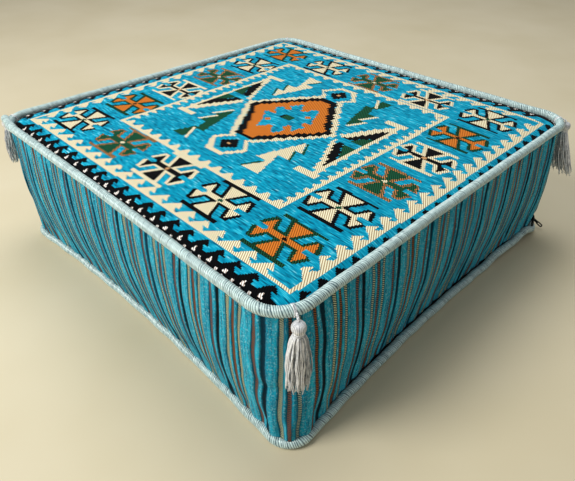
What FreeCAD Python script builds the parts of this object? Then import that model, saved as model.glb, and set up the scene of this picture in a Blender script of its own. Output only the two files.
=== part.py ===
"""Square box floor cushion: a piped, zipped cover over a foam filling, with a tassel at each top corner.

The frame has its origin in the middle of the base, on the floor, with +Z up. The front is -Y, and the zip
is in the back (+Y) lower seam. All sizes are millimetres.
"""
import FreeCAD
import Part
import math
import os
import Sketcher
from FreeCAD import Placement, Rotation, Vector

SIZES = {
    # the seams, and the piping that covers them
    "seam_side": 600.0,          # between the centrelines of opposite sides of the piping
    "overall_height": 202.0,     # floor to the top of the upper piping
    "piping_diameter": 12.0,
    "top_corner": 38.0,          # centreline radius of the upper piping at a corner
    "bottom_corner": 28.0,       # centreline radius of the lower piping at a corner
    # the cloth of the cover
    "panel_thick": 2.5,
    "panel_crown": 1.0,          # how far the top panel lies above the piping's centreline
    "boxing_thick": 2.0,
    "boxing_bulge": 3.6,         # how far the side cloth stands out past the seam line
    "boxing_gap": 0.3,           # between the side cloth and the piping, above and below
    "boxing_corner": 42.0,
    # the filling
    "case_inset": 1.0,           # the inner case's face, inside the seam line
    "case_gap": 0.3,             # between the inner case and the top and bottom panels
    "case_thick": 0.8,
    "case_corner": 42.0,
    "case_edge": 20.0,
    "wrap_gap": 0.2,
    "wrap_thick": 10.0,
    "foam_gap": 0.3,
    "foam_end_gap": 2.5,
    "foam_corner": 30.0,
    # the zip, along X in the back lower seam
    "zip_start": -275.0,         # the stitched end, which the open slider stops at
    "zip_finish": 290.0,         # the end that the closed slider rests at
    "zip_level": 19.0,           # height of the line between the two rows of coil
    "zip_depth": 302.6,          # Y of the middle of the tape
    "tape_thick": 0.8,
    "tape_reach": 6.3,           # from the zip's middle line to the tape's sewn edge
    "coil_size": 2.2,
    "coil_split": 1.2,           # left between the rows, for the slider's post
    "stop_length": 2.4,
    "stop_inset": 0.7,           # from the tape's end to the stops at the closed end
    "slider_rest": 280.0,
    "slider_length": 13.0,
    "slider_width": 11.0,
    "slider_plate": 1.2,
    "slider_throat": 2.8,        # between the slider's two plates
    "slider_lip": 0.6,           # height of the plates' turned-in edges
    "post_thick": 0.6,
    "post_length": 2.0,
    "bridge_span": 5.2,          # between the middles of the bridge's feet
    "bridge_wire": 1.2,
    "bridge_width": 1.8,
    "bridge_rise": 3.2,          # clear height under the bridge
    # the pull tab, from the hinge axis outwards
    "pull_length": 33.0,
    "pull_thick": 1.0,
    "pull_width": 6.0,
    "pull_neck": 4.4,
    "eye_width": 8.0,
    "eye_length": 7.6,
    "eye_rim": 1.3,
    "eye_bar": 0.9,              # half the width of the bar that the bridge holds
    "pull_droop": 25.0,          # degrees that the tab hangs below the zip's line
    "pull_hole": 2.4,
    "pull_hole_length": 5.0,
    # a tassel, measured outwards from the upper piping's centreline
    "tassel_out": 13.0,
    "head_radius": 7.0,
    "head_below": 9.0,           # middle of the head, below the piping's centreline
    "head_cut": 6.5,             # from the middle of the head down to its binding
    "binding_radius": 5.0,
    "binding_length": 4.0,
    "skirt_top": 5.2,
    "skirt_bottom": 13.5,
    "skirt_length": 79.0,
    "skirt_depth": 18.0,         # the skirt lies flattened against the side
    "loop_out": 7.4,             # where the hanging loop is sewn to the piping
    "loop_above": 2.0,
    "loop_end_out": 12.2,        # where the loop meets the tassel's head
    "loop_end_below": 1.6,
    "loop_wire": 0.8,
    "loop_short": 1.3,           # the loop stops this far before the head
}

# Each corner's signs in X and Y, and the direction that its tassel faces, in degrees from +X.
TASSELS = {
    "front_right": (1, -1, -25.0),
    "back_right": (1, 1, 45.0),
    "back_left": (-1, 1, 135.0),
    "front_left": (-1, -1, 217.0),
}

doc = FreeCAD.newDocument("floor_cushion")
sheet = doc.addObject("Spreadsheet::Sheet", "Sizes")
for row, (alias, value) in enumerate(SIZES.items(), start=1):
    sheet.set(f"A{row}", alias)
    sheet.set(f"B{row}", str(value))
    sheet.setAlias(f"B{row}", alias)
doc.recompute()

CELLS = {alias: f"Sizes.{alias}" for alias in SIZES}
UP = Vector(0, 0, 1)
sub_parts = []


# ---- helpers ----------------------------------------------------------------------------------------------

def size(alias):
    """The value of a cell, for a placement that no expression sets."""
    return float(sheet.get(alias))


def bind(feature, **properties):
    """Binds properties to expressions. A word in curly brackets is a cell, and __ stands for a dot."""
    for name, expression in properties.items():
        feature.setExpression(name.replace("__", "."), expression.format(**CELLS))


def bind_base(feature, x="0", y="0", z="0"):
    bind(feature, Placement__Base__x=x, Placement__Base__y=y, Placement__Base__z=z)


def keep(feature, name):
    """Makes a feature a sub-part. Its label names its file."""
    feature.Label = name
    sub_parts.append(feature)
    return feature


def box(name, x, y, z):
    """A box from a (low side, length) pair of expressions along each axis."""
    made = doc.addObject("Part::Box", name)
    bind(made, Length=x[1], Width=y[1], Height=z[1])
    bind_base(made, x[0], y[0], z[0])
    return made


def cut(name, base, tool):
    made = doc.addObject("Part::Cut", name)
    made.Base = base
    made.Tool = tool
    return made


def fuse(name, shapes):
    made = doc.addObject("Part::MultiFuse", name)
    made.Shapes = shapes
    made.Refine = True
    return made


def common(name, shapes):
    made = doc.addObject("Part::MultiCommon", name)
    made.Shapes = shapes
    return made


def centred_rectangle(body, name, width, depth):
    """A sketch of a rectangle centred on the body's origin, with its width and depth bound."""
    sketch = body.newObject("Sketcher::SketchObject", name)
    plane = [f for f in body.Origin.OriginFeatures if f.Role == "XY_Plane"][0]
    sketch.AttachmentSupport = [(plane, "")]
    sketch.MapMode = "FlatFace"
    corners = [Vector(-1, -1, 0), Vector(1, -1, 0), Vector(1, 1, 0), Vector(-1, 1, 0)]
    for i in range(4):
        sketch.addGeometry(Part.LineSegment(corners[i], corners[(i + 1) % 4]), False)
    for i in range(4):
        sketch.addConstraint(Sketcher.Constraint("Coincident", i, 2, (i + 1) % 4, 1))
        sketch.addConstraint(Sketcher.Constraint(("Horizontal", "Vertical")[i % 2], i))
    sketch.addConstraint(Sketcher.Constraint("Symmetric", 0, 1, 1, 2, -1, 1))
    for kind, line in (("DistanceX", 0), ("DistanceY", 1)):
        sketch.addConstraint(Sketcher.Constraint(kind, line, 1, line, 2, 2.0))
        sketch.renameConstraint(sketch.ConstraintCount - 1, kind)
    bind(sketch, Constraints__DistanceX=width, Constraints__DistanceY=depth)
    return sketch


def edges_where(feature, test):
    return [f"Edge{i}" for i, edge in enumerate(feature.Shape.Edges, start=1) if test(edge)]


def is_upright(edge):
    bounds = edge.BoundBox
    return bounds.XLength < 1e-6 and bounds.YLength < 1e-6


def is_level(edge):
    return edge.BoundBox.ZLength < 1e-6


def rounded_block(name, width, depth, low, high, corner, edge=None):
    """A block between two heights, with its upright corners rounded, and its level edges too if asked."""
    body = doc.addObject("PartDesign::Body", name)
    outline = centred_rectangle(body, name + "_outline", width, depth)
    pad = body.newObject("PartDesign::Pad", name + "_pad")
    pad.Profile = outline
    bind(pad, Length=f"({high}) - ({low})")
    doc.recompute()
    rounds = [("_corners", is_upright, corner)]
    if edge:
        rounds.append(("_edges", is_level, edge))
    solid = pad
    for suffix, test, radius in rounds:
        fillet = body.newObject("PartDesign::Fillet", name + suffix)
        fillet.Base = (solid, edges_where(solid, test))
        bind(fillet, Radius=radius)
        doc.recompute()
        solid = fillet
    bind(body, Placement__Base__z=low)
    return body


# ---- the cover --------------------------------------------------------------------------------------------

UPPER_SEAM = "({overall_height} - {piping_diameter} / 2)"
LOWER_SEAM = "({piping_diameter} / 2)"


def build_piping(name, level, corner):
    """A cord round the square: a straight run along each side, and a quarter turn at each corner."""
    straight = "({seam_side} / 2 - " + corner + ")"
    pieces = []
    for i in range(4):
        turn = Rotation(UP, 90 * i)
        along = turn.multVec(Vector(1, 0, 0))
        out = turn.multVec(Vector(0, 1, 0))
        run = doc.addObject("Part::Cylinder", f"{name}_run_{i}")
        run.Placement = Placement(Vector(), turn * Rotation(Vector(0, 1, 0), 90))
        bind(run, Radius="{piping_diameter} / 2", Height="2 * " + straight)
        bind_base(
            run,
            x=f"{-along.x:.0f} * {straight} + {out.x:.0f} * {{seam_side}} / 2",
            y=f"{-along.y:.0f} * {straight} + {out.y:.0f} * {{seam_side}} / 2",
            z=level,
        )
        bend = doc.addObject("Part::Torus", f"{name}_bend_{i}")
        bend.Placement = Placement(Vector(), turn)
        bend.Angle3 = 90
        bind(bend, Radius1=corner, Radius2="{piping_diameter} / 2")
        bind_base(
            bend,
            x=f"{along.x + out.x:.0f} * {straight}",
            y=f"{along.y + out.y:.0f} * {straight}",
            z=level,
        )
        pieces += [run, bend]
    keep(fuse(name, pieces), name)


def build_panel(name, low, corner):
    inside = "{seam_side} - {piping_diameter}"
    radius = corner + " - {piping_diameter} / 2"
    keep(rounded_block(name, inside, inside, low, f"{low} + {{panel_thick}}", radius), name)


def build_boxing():
    """The side cloth, in two lengths that are sewn together at the back right and front left corners."""
    width = "{seam_side} + 2 * {boxing_bulge}"
    inner = width + " - 2 * {boxing_thick}"
    low = "{piping_diameter} + {boxing_gap}"
    high = "{overall_height} - {piping_diameter} - {boxing_gap}"
    outside = rounded_block("boxing_outside", width, width, low, high, "{boxing_corner}")
    inside = rounded_block("boxing_inside", inner, inner, low, high, "{boxing_corner} - {boxing_thick}")
    ring = cut("boxing_ring", outside, inside)
    front_right = doc.addObject("Part::Box", "front_right_half")
    front_right.Placement = Placement(Vector(), Rotation(UP, 45))
    bind(front_right, Length="2 * {seam_side}", Width="{seam_side}", Height="{overall_height}")
    bind_base(front_right, y="-sqrt(2) * {seam_side}")
    keep(common("boxing_front_right", [ring, front_right]), "boxing_front_right")
    zip_slot = box(
        "zip_slot",
        ("{zip_start} - {boxing_gap}", "{zip_finish} - {zip_start} + 2 * {boxing_gap}"),
        ("{seam_side} / 2 - {boxing_corner}", "2 * {boxing_corner}"),
        ("0", "{zip_level} + {tape_reach}"),
    )
    back_left = cut("boxing_back_left_whole", ring, front_right)
    keep(cut("boxing_back_left", back_left, zip_slot), "boxing_back_left")


def build_cover():
    build_panel("top_panel", UPPER_SEAM + " + {panel_crown} - {panel_thick}", "{top_corner}")
    build_panel("bottom_panel", "0", "{bottom_corner}")
    build_piping("piping_top", UPPER_SEAM, "{top_corner}")
    build_piping("piping_bottom", LOWER_SEAM, "{bottom_corner}")
    build_boxing()


# ---- the filling ------------------------------------------------------------------------------------------

def filling_block(name, inset):
    """The inner case's outer shape, made smaller all round by an inset."""
    width = f"{{seam_side}} - 2 * {{case_inset}} - 2 * ({inset})"
    low = f"{{panel_thick}} + {{case_gap}} + {inset}"
    high = f"{UPPER_SEAM} + {{panel_crown}} - {{panel_thick}} - {{case_gap}} - ({inset})"
    corner = f"{{case_corner}} - ({inset})"
    return rounded_block(name, width, width, low, high, corner, edge=f"{{case_edge}} - ({inset})")


def build_filling():
    """The sewn inner case, the sleeve of fibre inside it, and the foam that the sleeve wraps."""
    case = filling_block("case_outside", "0")
    hollow = filling_block("case_inside", "{case_thick}")
    keep(cut("inner_case", case, hollow), "inner_case")

    wrap_inset = "({case_thick} + {wrap_gap})"
    wrap = filling_block("wrap_outside", wrap_inset)
    inside = wrap_inset + " + {wrap_thick}"
    low = "{panel_thick} + {case_gap} + " + inside
    high = UPPER_SEAM + " + {panel_crown} - {panel_thick} - {case_gap} - (" + inside + ")"
    depth = "{seam_side} - 2 * {case_inset} - 2 * (" + inside + ")"
    tunnel = box(
        "wrap_tunnel",
        ("-{seam_side}", "2 * {seam_side}"),
        (f"-({depth}) / 2", depth),
        (low, f"({high}) - ({low})"),
    )
    keep(cut("fibre_wrap", wrap, tunnel), "fibre_wrap")

    foam_width = "{seam_side} - 2 * {case_inset} - 2 * {case_thick} - 2 * {foam_end_gap}"
    foam = rounded_block(
        "foam_core",
        foam_width,
        depth + " - 2 * {foam_gap}",
        low + " + {foam_gap}",
        high + " - {foam_gap}",
        "{foam_corner}",
    )
    keep(foam, "foam_core")


# ---- the zip ----------------------------------------------------------------------------------------------

def build_zip_rows():
    """The two tapes, their rows of coil and the stops, above and below the zip's middle line."""
    coil_start = "{zip_start} + {stop_length}"
    coil_finish = "{zip_finish} - {stop_inset} - {stop_length}"
    coil_run = (coil_start, f"({coil_finish}) - ({coil_start})")
    tape_run = ("{zip_start}", "{zip_finish} - {zip_start}")
    coil_y = ("{zip_depth} - {coil_size} / 2", "{coil_size}")
    tape_y = ("{zip_depth} - {tape_thick} / 2", "{tape_thick}")
    near = "{coil_split} / 2"
    far = "{coil_split} / 2 + {coil_size}"
    tape_width = "{tape_reach} - {coil_split} / 2 - {coil_size}"
    rows = {
        "upper": ("{zip_level} + " + near, "{zip_level} + " + far),
        "lower": ("{zip_level} - (" + far + ")", "{zip_level} - {tape_reach}"),
    }
    for side, (coil_low, tape_low) in rows.items():
        coil = box(f"zip_coil_{side}", coil_run, coil_y, (coil_low, "{coil_size}"))
        tape = box(f"zip_tape_{side}", tape_run, tape_y, (tape_low, tape_width))
        keep(coil, f"zip_coil_{side}")
        keep(tape, f"zip_tape_{side}")
    stops = [
        box(f"stop_{side}", (coil_finish, "{stop_length}"), coil_y, (coil_low, "{coil_size}"))
        for side, (coil_low, _) in rows.items()
    ]
    group = doc.addObject("Part::Compound", "zip_top_stops")
    group.Links = stops
    keep(group, "zip_top_stops")
    across = "2 * (" + far + ")"
    end_stop = box(
        "zip_bottom_stop", ("{zip_start}", "{stop_length}"), coil_y, ("{zip_level} - (" + far + ")", across))
    keep(end_stop, "zip_bottom_stop")


def build_slider():
    """Two plates joined by a post between the rows of coil, with a bridge outside for the pull tab."""
    length = "{slider_length}"
    width = "{slider_width}"
    left = "{slider_rest} - {slider_length} / 2"
    low = "{zip_level} - {slider_width} / 2"
    throat = "{zip_depth} - {slider_throat} / 2"
    face = "{zip_depth} + {slider_throat} / 2"
    pieces = [
        box("slider_back", (left, length), (throat + " - {slider_plate}", "{slider_plate}"), (low, width)),
        box("slider_front", (left, length), (face, "{slider_plate}"), (low, width)),
        box(
            "slider_post",
            ("{slider_rest} + {slider_length} / 2 - 2 * {post_length}", "{post_length}"),
            (throat, "{slider_throat}"),
            ("{zip_level} - {post_thick} / 2", "{post_thick}"),
        ),
    ]
    for i, lip_low in enumerate((low, "{zip_level} + {slider_width} / 2 - {slider_plate}")):
        for j, lip_near in enumerate((throat, face + " - {slider_lip}")):
            lip = box(
                f"slider_lip_{i}{j}", (left, length), (lip_near, "{slider_lip}"), (lip_low, "{slider_plate}"))
            pieces.append(lip)
    outside = face + " + {slider_plate}"
    bridge_z = ("{zip_level} - {bridge_width} / 2", "{bridge_width}")
    for i, sign in enumerate(("-", "+")):
        foot = "{slider_rest} " + sign + " {bridge_span} / 2 - {bridge_wire} / 2"
        pieces.append(box(
            f"bridge_foot_{i}", (foot, "{bridge_wire}"), (outside, "{bridge_rise}"), bridge_z))
    bar = ("{slider_rest} - {bridge_span} / 2 - {bridge_wire} / 2", "{bridge_span} + {bridge_wire}")
    pieces.append(box("bridge_bar", bar, (outside + " + {bridge_rise}", "{bridge_wire}"), bridge_z))
    keep(fuse("zip_slider", pieces), "zip_slider")


def build_pull():
    """A flat tab with a square eye for the bridge and a slot near its rounded end."""
    middle = ("-{pull_thick} / 2", "{pull_thick}")
    tip_middle = "{pull_length} - {pull_width} / 2"
    eye = box(
        "pull_eye", ("-{eye_bar}", "{eye_length}"), ("-{eye_width} / 2", "{eye_width}"), middle)
    window = box(
        "pull_window",
        ("{eye_bar}", "{eye_length} - 2 * {eye_bar} - {eye_rim}"),
        ("-{eye_width} / 2 + {eye_rim}", "{eye_width} - 2 * {eye_rim}"),
        middle,
    )
    neck_run = "{pull_length} - {eye_length} + {eye_bar}"
    neck = box(
        "pull_neck",
        ("{eye_length} - {eye_bar}", neck_run + " - {pull_width}"),
        ("-{pull_neck} / 2", "{pull_neck}"),
        middle,
    )
    end_run = "{pull_width} / 2 + {pull_hole_length}"
    end = box(
        "pull_end", (f"{tip_middle} - ({end_run})", end_run), ("-{pull_width} / 2", "{pull_width}"), middle)
    tip = doc.addObject("Part::Cylinder", "pull_tip")
    bind(tip, Radius="{pull_width} / 2", Height="{pull_thick}")
    bind_base(tip, tip_middle, "0", middle[0])
    slot_ends = (tip_middle + " - {pull_hole_length}", tip_middle)
    slot = box(
        "pull_slot", (slot_ends[0], "{pull_hole_length}"), ("-{pull_hole} / 2", "{pull_hole}"), middle)
    holes = [window, slot]
    for i, x in enumerate(slot_ends):
        bore = doc.addObject("Part::Cylinder", f"pull_slot_end_{i}")
        bind(bore, Radius="{pull_hole} / 2", Height="{pull_thick}")
        bind_base(bore, x, "0", middle[0])
        holes.append(bore)
    blank = fuse("pull_blank", [eye, neck, end, tip])
    pull = cut("zip_pull", blank, fuse("pull_holes", holes))
    droop = math.radians(size("pull_droop"))
    along = Vector(math.cos(droop), 0, -math.sin(droop))
    across = Vector(math.sin(droop), 0, math.cos(droop))
    outside = size("zip_depth") + size("slider_throat") / 2 + size("slider_plate")
    hinge = Vector(size("slider_rest"), outside + size("bridge_rise") / 2, size("zip_level"))
    pull.Placement = Placement(hinge, Rotation(along, across, along.cross(across), "XYZ"))
    keep(pull, "zip_pull")


# ---- the tassels ------------------------------------------------------------------------------------------

def build_tassel(corner, sign_x, sign_y, facing):
    """A loop sewn to the piping, and the head, binding and skirt that hang from it."""
    straight = size("seam_side") / 2 - size("top_corner")
    seam = size("overall_height") - size("piping_diameter") / 2
    centre = Vector(sign_x * straight, sign_y * straight, seam)
    turn = Rotation(UP, facing)

    def at(out, below):
        """A point beside the corner, outwards from the piping's centreline and below it."""
        return centre + turn.multVec(Vector(size("top_corner") + out, 0, -below))

    loop_top = at(size("loop_out"), -size("loop_above"))
    loop_foot = at(size("loop_end_out"), size("loop_end_below"))
    run = loop_foot - loop_top
    loop = doc.addObject("Part::Cylinder", f"tassel_{corner}_loop")
    bind(loop, Radius="{loop_wire}")
    loop.Height = run.Length - size("loop_short")
    loop.Placement = Placement(loop_top, Rotation(UP, run))

    out = size("tassel_out")
    head = doc.addObject("Part::Sphere", f"tassel_{corner}_head")
    bind(head, Radius="{head_radius}", Angle1="-asin({head_cut} / {head_radius})")
    head.Placement = Placement(at(out, size("head_below")), turn)

    binding = doc.addObject("Part::Cylinder", f"tassel_{corner}_binding")
    bind(binding, Radius="{binding_radius}", Height="{binding_length}")
    binding_foot = size("head_below") + size("head_cut") + size("binding_length")
    binding.Placement = Placement(at(out, binding_foot), turn)

    cone = doc.addObject("Part::Cone", f"tassel_{corner}_cone")
    bind(cone, Radius1="{skirt_bottom}", Radius2="{skirt_top}", Height="{skirt_length}")
    slab = box(
        f"tassel_{corner}_slab",
        ("-{skirt_depth} / 2", "{skirt_depth}"),
        ("-{skirt_bottom}", "2 * {skirt_bottom}"),
        ("0", "{skirt_length}"),
    )
    skirt = common(f"tassel_{corner}_skirt", [cone, slab])
    skirt.Placement = Placement(at(out, binding_foot + size("skirt_length")), turn)

    for piece, part in ((loop, "loop"), (head, "head"), (binding, "binding"), (skirt, "skirt")):
        keep(piece, f"tassel_{corner}_{part}")


# ---- the whole cushion ------------------------------------------------------------------------------------

build_cover()
build_filling()
build_zip_rows()
build_slider()
build_pull()
for corner_name, (x_sign, y_sign, direction) in TASSELS.items():
    build_tassel(corner_name, x_sign, y_sign, direction)
doc.recompute()

for item in doc.Objects:
    if {"Invalid", "Error"} & set(item.State):
        raise RuntimeError(f"{item.Label} failed to compute: {item.State}")
for item in sub_parts:
    if item.Shape.isNull() or not item.Shape.isValid() or not item.Shape.Solids:
        raise RuntimeError(f"{item.Label} has no valid solid")

os.makedirs("parts", exist_ok=True)
for item in sub_parts:
    item.Shape.exportStep(f"parts/{item.Label}.step")
    bounds = item.Shape.BoundBox
    print(
        f"{item.Label:28s} solids {len(item.Shape.Solids)}  volume {item.Shape.Volume / 1000:10.2f} cm3  "
        f"z {bounds.ZMin:7.2f} to {bounds.ZMax:7.2f}"
    )
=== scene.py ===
"""A kilim floor cushion with striped sides, wound piping, four tassels and a zip, around its CAD frame."""

import math

import bpy
import numpy as np
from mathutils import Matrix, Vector


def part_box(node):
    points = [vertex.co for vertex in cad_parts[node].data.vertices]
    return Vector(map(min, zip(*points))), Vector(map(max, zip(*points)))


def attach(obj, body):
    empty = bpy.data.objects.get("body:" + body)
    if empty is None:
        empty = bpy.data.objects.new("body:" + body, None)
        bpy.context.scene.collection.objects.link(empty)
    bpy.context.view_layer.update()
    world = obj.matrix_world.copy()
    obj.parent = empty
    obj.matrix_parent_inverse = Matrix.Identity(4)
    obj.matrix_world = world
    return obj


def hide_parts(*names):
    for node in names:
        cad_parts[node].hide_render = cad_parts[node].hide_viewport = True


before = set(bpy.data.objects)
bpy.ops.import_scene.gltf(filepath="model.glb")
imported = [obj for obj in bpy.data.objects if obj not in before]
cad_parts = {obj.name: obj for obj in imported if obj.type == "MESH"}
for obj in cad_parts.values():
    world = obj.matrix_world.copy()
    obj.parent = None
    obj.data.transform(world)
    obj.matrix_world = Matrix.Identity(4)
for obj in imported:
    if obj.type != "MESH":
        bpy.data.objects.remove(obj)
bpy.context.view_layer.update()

MM = 0.001
TURN = 2 * math.pi

# ---- measures in millimetres, in the CAD model's frame ----

SEAM_HALF = 300.0        # from the middle of the cushion to the middle of a side's piping
TOP_LEVEL = 196.0        # height of the upper piping's centreline
LOW_LEVEL = 6.0          # and of the lower piping's
TOP_CORNER = 38.6        # radius of the seams' corners
LOW_CORNER = 26.8
TOP_PULLS = (1.5, 1.5, 1.5, 1.5)            # how far front, right, back and left sides are drawn in
LOW_PULLS = (11.7, 11.7, 3.0, 9.0)
LOW_SHIFT = (4.5, 3.0)                      # the lower seam lies a little aside and turned from the upper one
LOW_TURN = math.radians(0.5)
SEAM_LIFTS = ((297.0, 192.0, 36.0, 6.5), (301.0, 254.0, 25.0, 11.5))   # off the floor: x, y, reach and height
PIPING_RADIUS = 5.7
PIPING_AROUND = 16                          # points round the cord
THREAD_PITCH = 2.4                          # along the cord, from one turn of its winding to the next
THREAD_RELIEF = 0.66                        # depth of the winding
WINDING = -4                                # how many threads the winding moves on in one turn round the cord
WALL_TOP = 191.5
WALL_FOOT = 10.5
SIDE_BULGES = (12.0, 3.5, 3.0, 11.0)        # how far each side stands out past the line between its seams
CORNER_BULGE = 3.0
FOOT_INSETS = (0.0, 6.5, 0.0, 3.0)          # how far each side falls behind the lower piping
RECESS = (292.0, 292.0, 30.0, 11.0)         # the back right corner's foot is drawn in: x, y, reach, depth
CORNER_SHEAR = 11.0                         # how far the cloth goes sideways at the foot of the near corner
ARC_LENGTH = 59.7                           # of the cloth round one corner
SIDE_LENGTH = 524.0
START_SHARE = 0.75                          # of the bulge, before the side cloth is filled
PUFF_DEPTH = 1.1                            # of the stripes below the bands of cloth between them
WALL_GRID = (61, 352, 40)                   # points down the side cloth, along a side and round a corner
CLOTH_THICK = 1.2
SETTLE_FRAMES = 20
SETTLE_CAP = 7.0                            # the furthest that filling moves the side cloth
ZIP_RANGE = (-290.0, 272.0)                 # where the side cloth starts to rise over the zip, at either end
ZIP_EDGE = 25.0                             # the side cloth's lower edge along the zip
ZIP_FACE = 303.4                            # how far back that edge stands
HEAD_LEVEL = 187.0                          # of the middle of a tassel's head
TASSELS = {                                 # direction in degrees, strands' length, lean outwards and spread
    "front_right": (-25.0, 70.0, 0.0, 0.0),
    "back_right": (45.0, 66.0, 15.0, 0.95),
    "back_left": (135.0, 68.0, 2.0, 0.05),
    "front_left": (217.0, 50.0, 3.0, 0.0),
}
TASSEL_SEED = 11
GOLDEN_ANGLE = 2.39996                      # spreads a tassel's strands evenly
UP = np.array([0.0, 0.0, 1.0])
CAMERA_PLACE = Vector((0.5368, -0.5206, 0.5239))
CAMERA_TARGET = Vector((0.10909, -0.09539, 0.080))


# ---- meshes ----

def make_piece(name, points, faces, body, material, stands_for=()):
    """A mesh piece from points in millimetres, riding on a CAD body."""
    mesh = bpy.data.meshes.new(name)
    mesh.from_pydata((np.asarray(points, float).reshape(-1, 3) * MM).tolist(), [], faces)
    mesh.polygons.foreach_set("use_smooth", [True] * len(mesh.polygons))
    mesh.materials.append(material)
    piece = bpy.data.objects.new(name, mesh)
    bpy.context.scene.collection.objects.link(piece)
    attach(piece, body)
    if stands_for:
        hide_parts(*stands_for)
    return piece


def thicken(piece, thickness, offset):
    """Gives a sheet its thickness in millimetres: inwards for an offset of -1, outwards for 1."""
    solid = piece.modifiers.new("thickness", "SOLIDIFY")
    solid.thickness = thickness * MM
    solid.offset = offset


def grid_faces(rows, columns, closed_columns=False, closed_rows=False, first=0):
    """Quads of a grid whose points run along each row in turn."""
    row_count = rows if closed_rows else rows - 1
    column_count = columns if closed_columns else columns - 1
    i, j = np.meshgrid(np.arange(row_count), np.arange(column_count), indexing="ij")
    i2 = (i + 1) % rows
    j2 = (j + 1) % columns
    quads = np.stack([i * columns + j, i * columns + j2, i2 * columns + j2, i2 * columns + j], -1)
    return (quads.reshape(-1, 4) + first).tolist()


def lid(centre, first, count, flipped=False):
    """Triangles between a centre point and a ring of points."""
    pairs = [(first + k, first + (k + 1) % count) for k in range(count)]
    return [[centre, b, a] if flipped else [centre, a, b] for a, b in pairs]


def reversed_faces(faces):
    return [face[::-1] for face in faces]


def unit(vectors):
    return vectors / np.linalg.norm(vectors, axis=-1, keepdims=True)


def sweep(paths, radii, sides, reference):
    """Round tubes with capped ends along paths of shape (count, steps, 3). Returns their points and faces."""
    paths = np.asarray(paths, float)
    count, steps, _ = paths.shape
    tangents = unit(np.gradient(paths, axis=1))
    reference = np.broadcast_to(np.asarray(reference, float), paths.shape)
    first = unit(reference - (reference * tangents).sum(-1, keepdims=True) * tangents)
    second = np.cross(tangents, first)
    angles = np.arange(sides) / sides * TURN
    spread = first[:, :, None] * np.cos(angles)[:, None] + second[:, :, None] * np.sin(angles)[:, None]
    radii = np.broadcast_to(np.asarray(radii, float), (count, steps))
    points = paths[:, :, None] + spread * radii[:, :, None, None]
    faces = []
    for k in range(count):
        start = k * steps * sides
        faces += grid_faces(steps, sides, closed_columns=True, first=start)
        faces.append([start + j for j in reversed(range(sides))])
        faces.append([start + (steps - 1) * sides + j for j in range(sides)])
    return points.reshape(-1, 3), faces


def joined(parts):
    """One list of points and one of faces, from several (points, faces) pairs."""
    points, faces, count = [], [], 0
    for some_points, some_faces in parts:
        points.append(np.asarray(some_points, float).reshape(-1, 3))
        faces += [[i + count for i in face] for face in some_faces]
        count += len(points[-1])
    return np.concatenate(points), faces


def set_cloth_uv(piece, u, v):
    """Sets the cloth coordinates of every face corner, in metres or in threads."""
    layer = piece.data.uv_layers.new(name="cloth")
    layer.data.foreach_set("uv", np.stack([u, v], -1).astype(np.float32).ravel())


def at_corners(values):
    """Values at the points of a grid, for each face corner of the grid's reversed faces."""
    return np.stack([values[1:, :-1], values[1:, 1:], values[:-1, 1:], values[:-1, :-1]], -1).ravel()


def corner_values(piece):
    """The vertex number and the place in millimetres of every face corner."""
    mesh = piece.data
    index = np.zeros(len(mesh.loops), int)
    mesh.loops.foreach_get("vertex_index", index)
    place = np.zeros(len(mesh.vertices) * 3)
    mesh.vertices.foreach_get("co", place)
    return index, place.reshape(-1, 3)[index] / MM


def ripple(x, y, size, seed=0.0):
    """A soft wandering value from about -1 to 1, whose waves are about size long."""
    a = np.sin(TURN * (x / size + 0.31 * np.sin(TURN * y / (2.3 * size) + seed)) + 1.7 * seed)
    b = np.sin(TURN * (y / (1.17 * size) + 0.27 * np.sin(TURN * x / (1.9 * size) - seed)) + 2.9 * seed)
    c = np.sin(TURN * (x + 0.8 * y) / (0.73 * size) + 4.1 * seed)
    return 0.42 * a + 0.36 * b + 0.22 * c


# ---- the seams ----

def travelled(path):
    """The length along a path at each of its points."""
    return np.concatenate([[0], np.cumsum(np.linalg.norm(np.diff(path, axis=0), axis=1))])


def seam_ring(half, corner, pulls, shift=(0.0, 0.0), turn=0.0, side_steps=88, corner_steps=10):
    """Points round a square seam, counterclockwise from the front left, with rounded corners and drawn-in
    sides. A side ends at the same place on every seam, so that the cloth between two seams hangs straight."""
    points = []
    reach = half - corner
    end = min(reach, SIDE_LENGTH / 2)

    def directions(side):
        angle = side * math.pi / 2
        return np.array([math.sin(angle), -math.cos(angle)]), np.array([math.cos(angle), math.sin(angle)])

    def on_side(side, place):
        out, along = directions(side)
        depth = half - pulls[side] * (1 - (place / reach) ** 2)
        return along * place[:, None] + out * depth[:, None]

    for side in range(4):
        out, along = directions(side)
        points.append(on_side(side, (np.arange(side_steps) / side_steps * 2 - 1) * end))
        bend = np.linspace(0, math.pi / 2, 60)
        arc = (along + out) * reach + corner * (out * np.cos(bend)[:, None] + along * np.sin(bend)[:, None])
        straight = np.linspace(end, reach, 20)[:-1]
        path = np.concatenate([on_side(side, straight), arc, on_side((side + 1) % 4, -straight[::-1])])
        lengths = travelled(path)
        wanted = np.arange(corner_steps) / corner_steps * lengths[-1]
        points.append(np.stack([np.interp(wanted, lengths, path[:, k]) for k in (0, 1)], 1))
    points = np.concatenate(points)
    c, s = math.cos(turn), math.sin(turn)
    return points @ np.array([[c, s], [-s, c]]) + np.array(shift)


def outward(ring):
    """The outward direction at each point of a ring that runs counterclockwise."""
    along = unit(np.roll(ring, -1, 0) - np.roll(ring, 1, 0))
    return np.stack([along[:, 1], -along[:, 0]], 1)


def even(ring, count):
    """The ring again, with its points evenly spaced along it, and its length."""
    closed = np.concatenate([ring, ring[:1]])
    lengths = travelled(closed)
    wanted = np.arange(count) / count * lengths[-1]
    return np.stack([np.interp(wanted, lengths, closed[:, k]) for k in range(ring.shape[1])], 1), lengths[-1]


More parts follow.
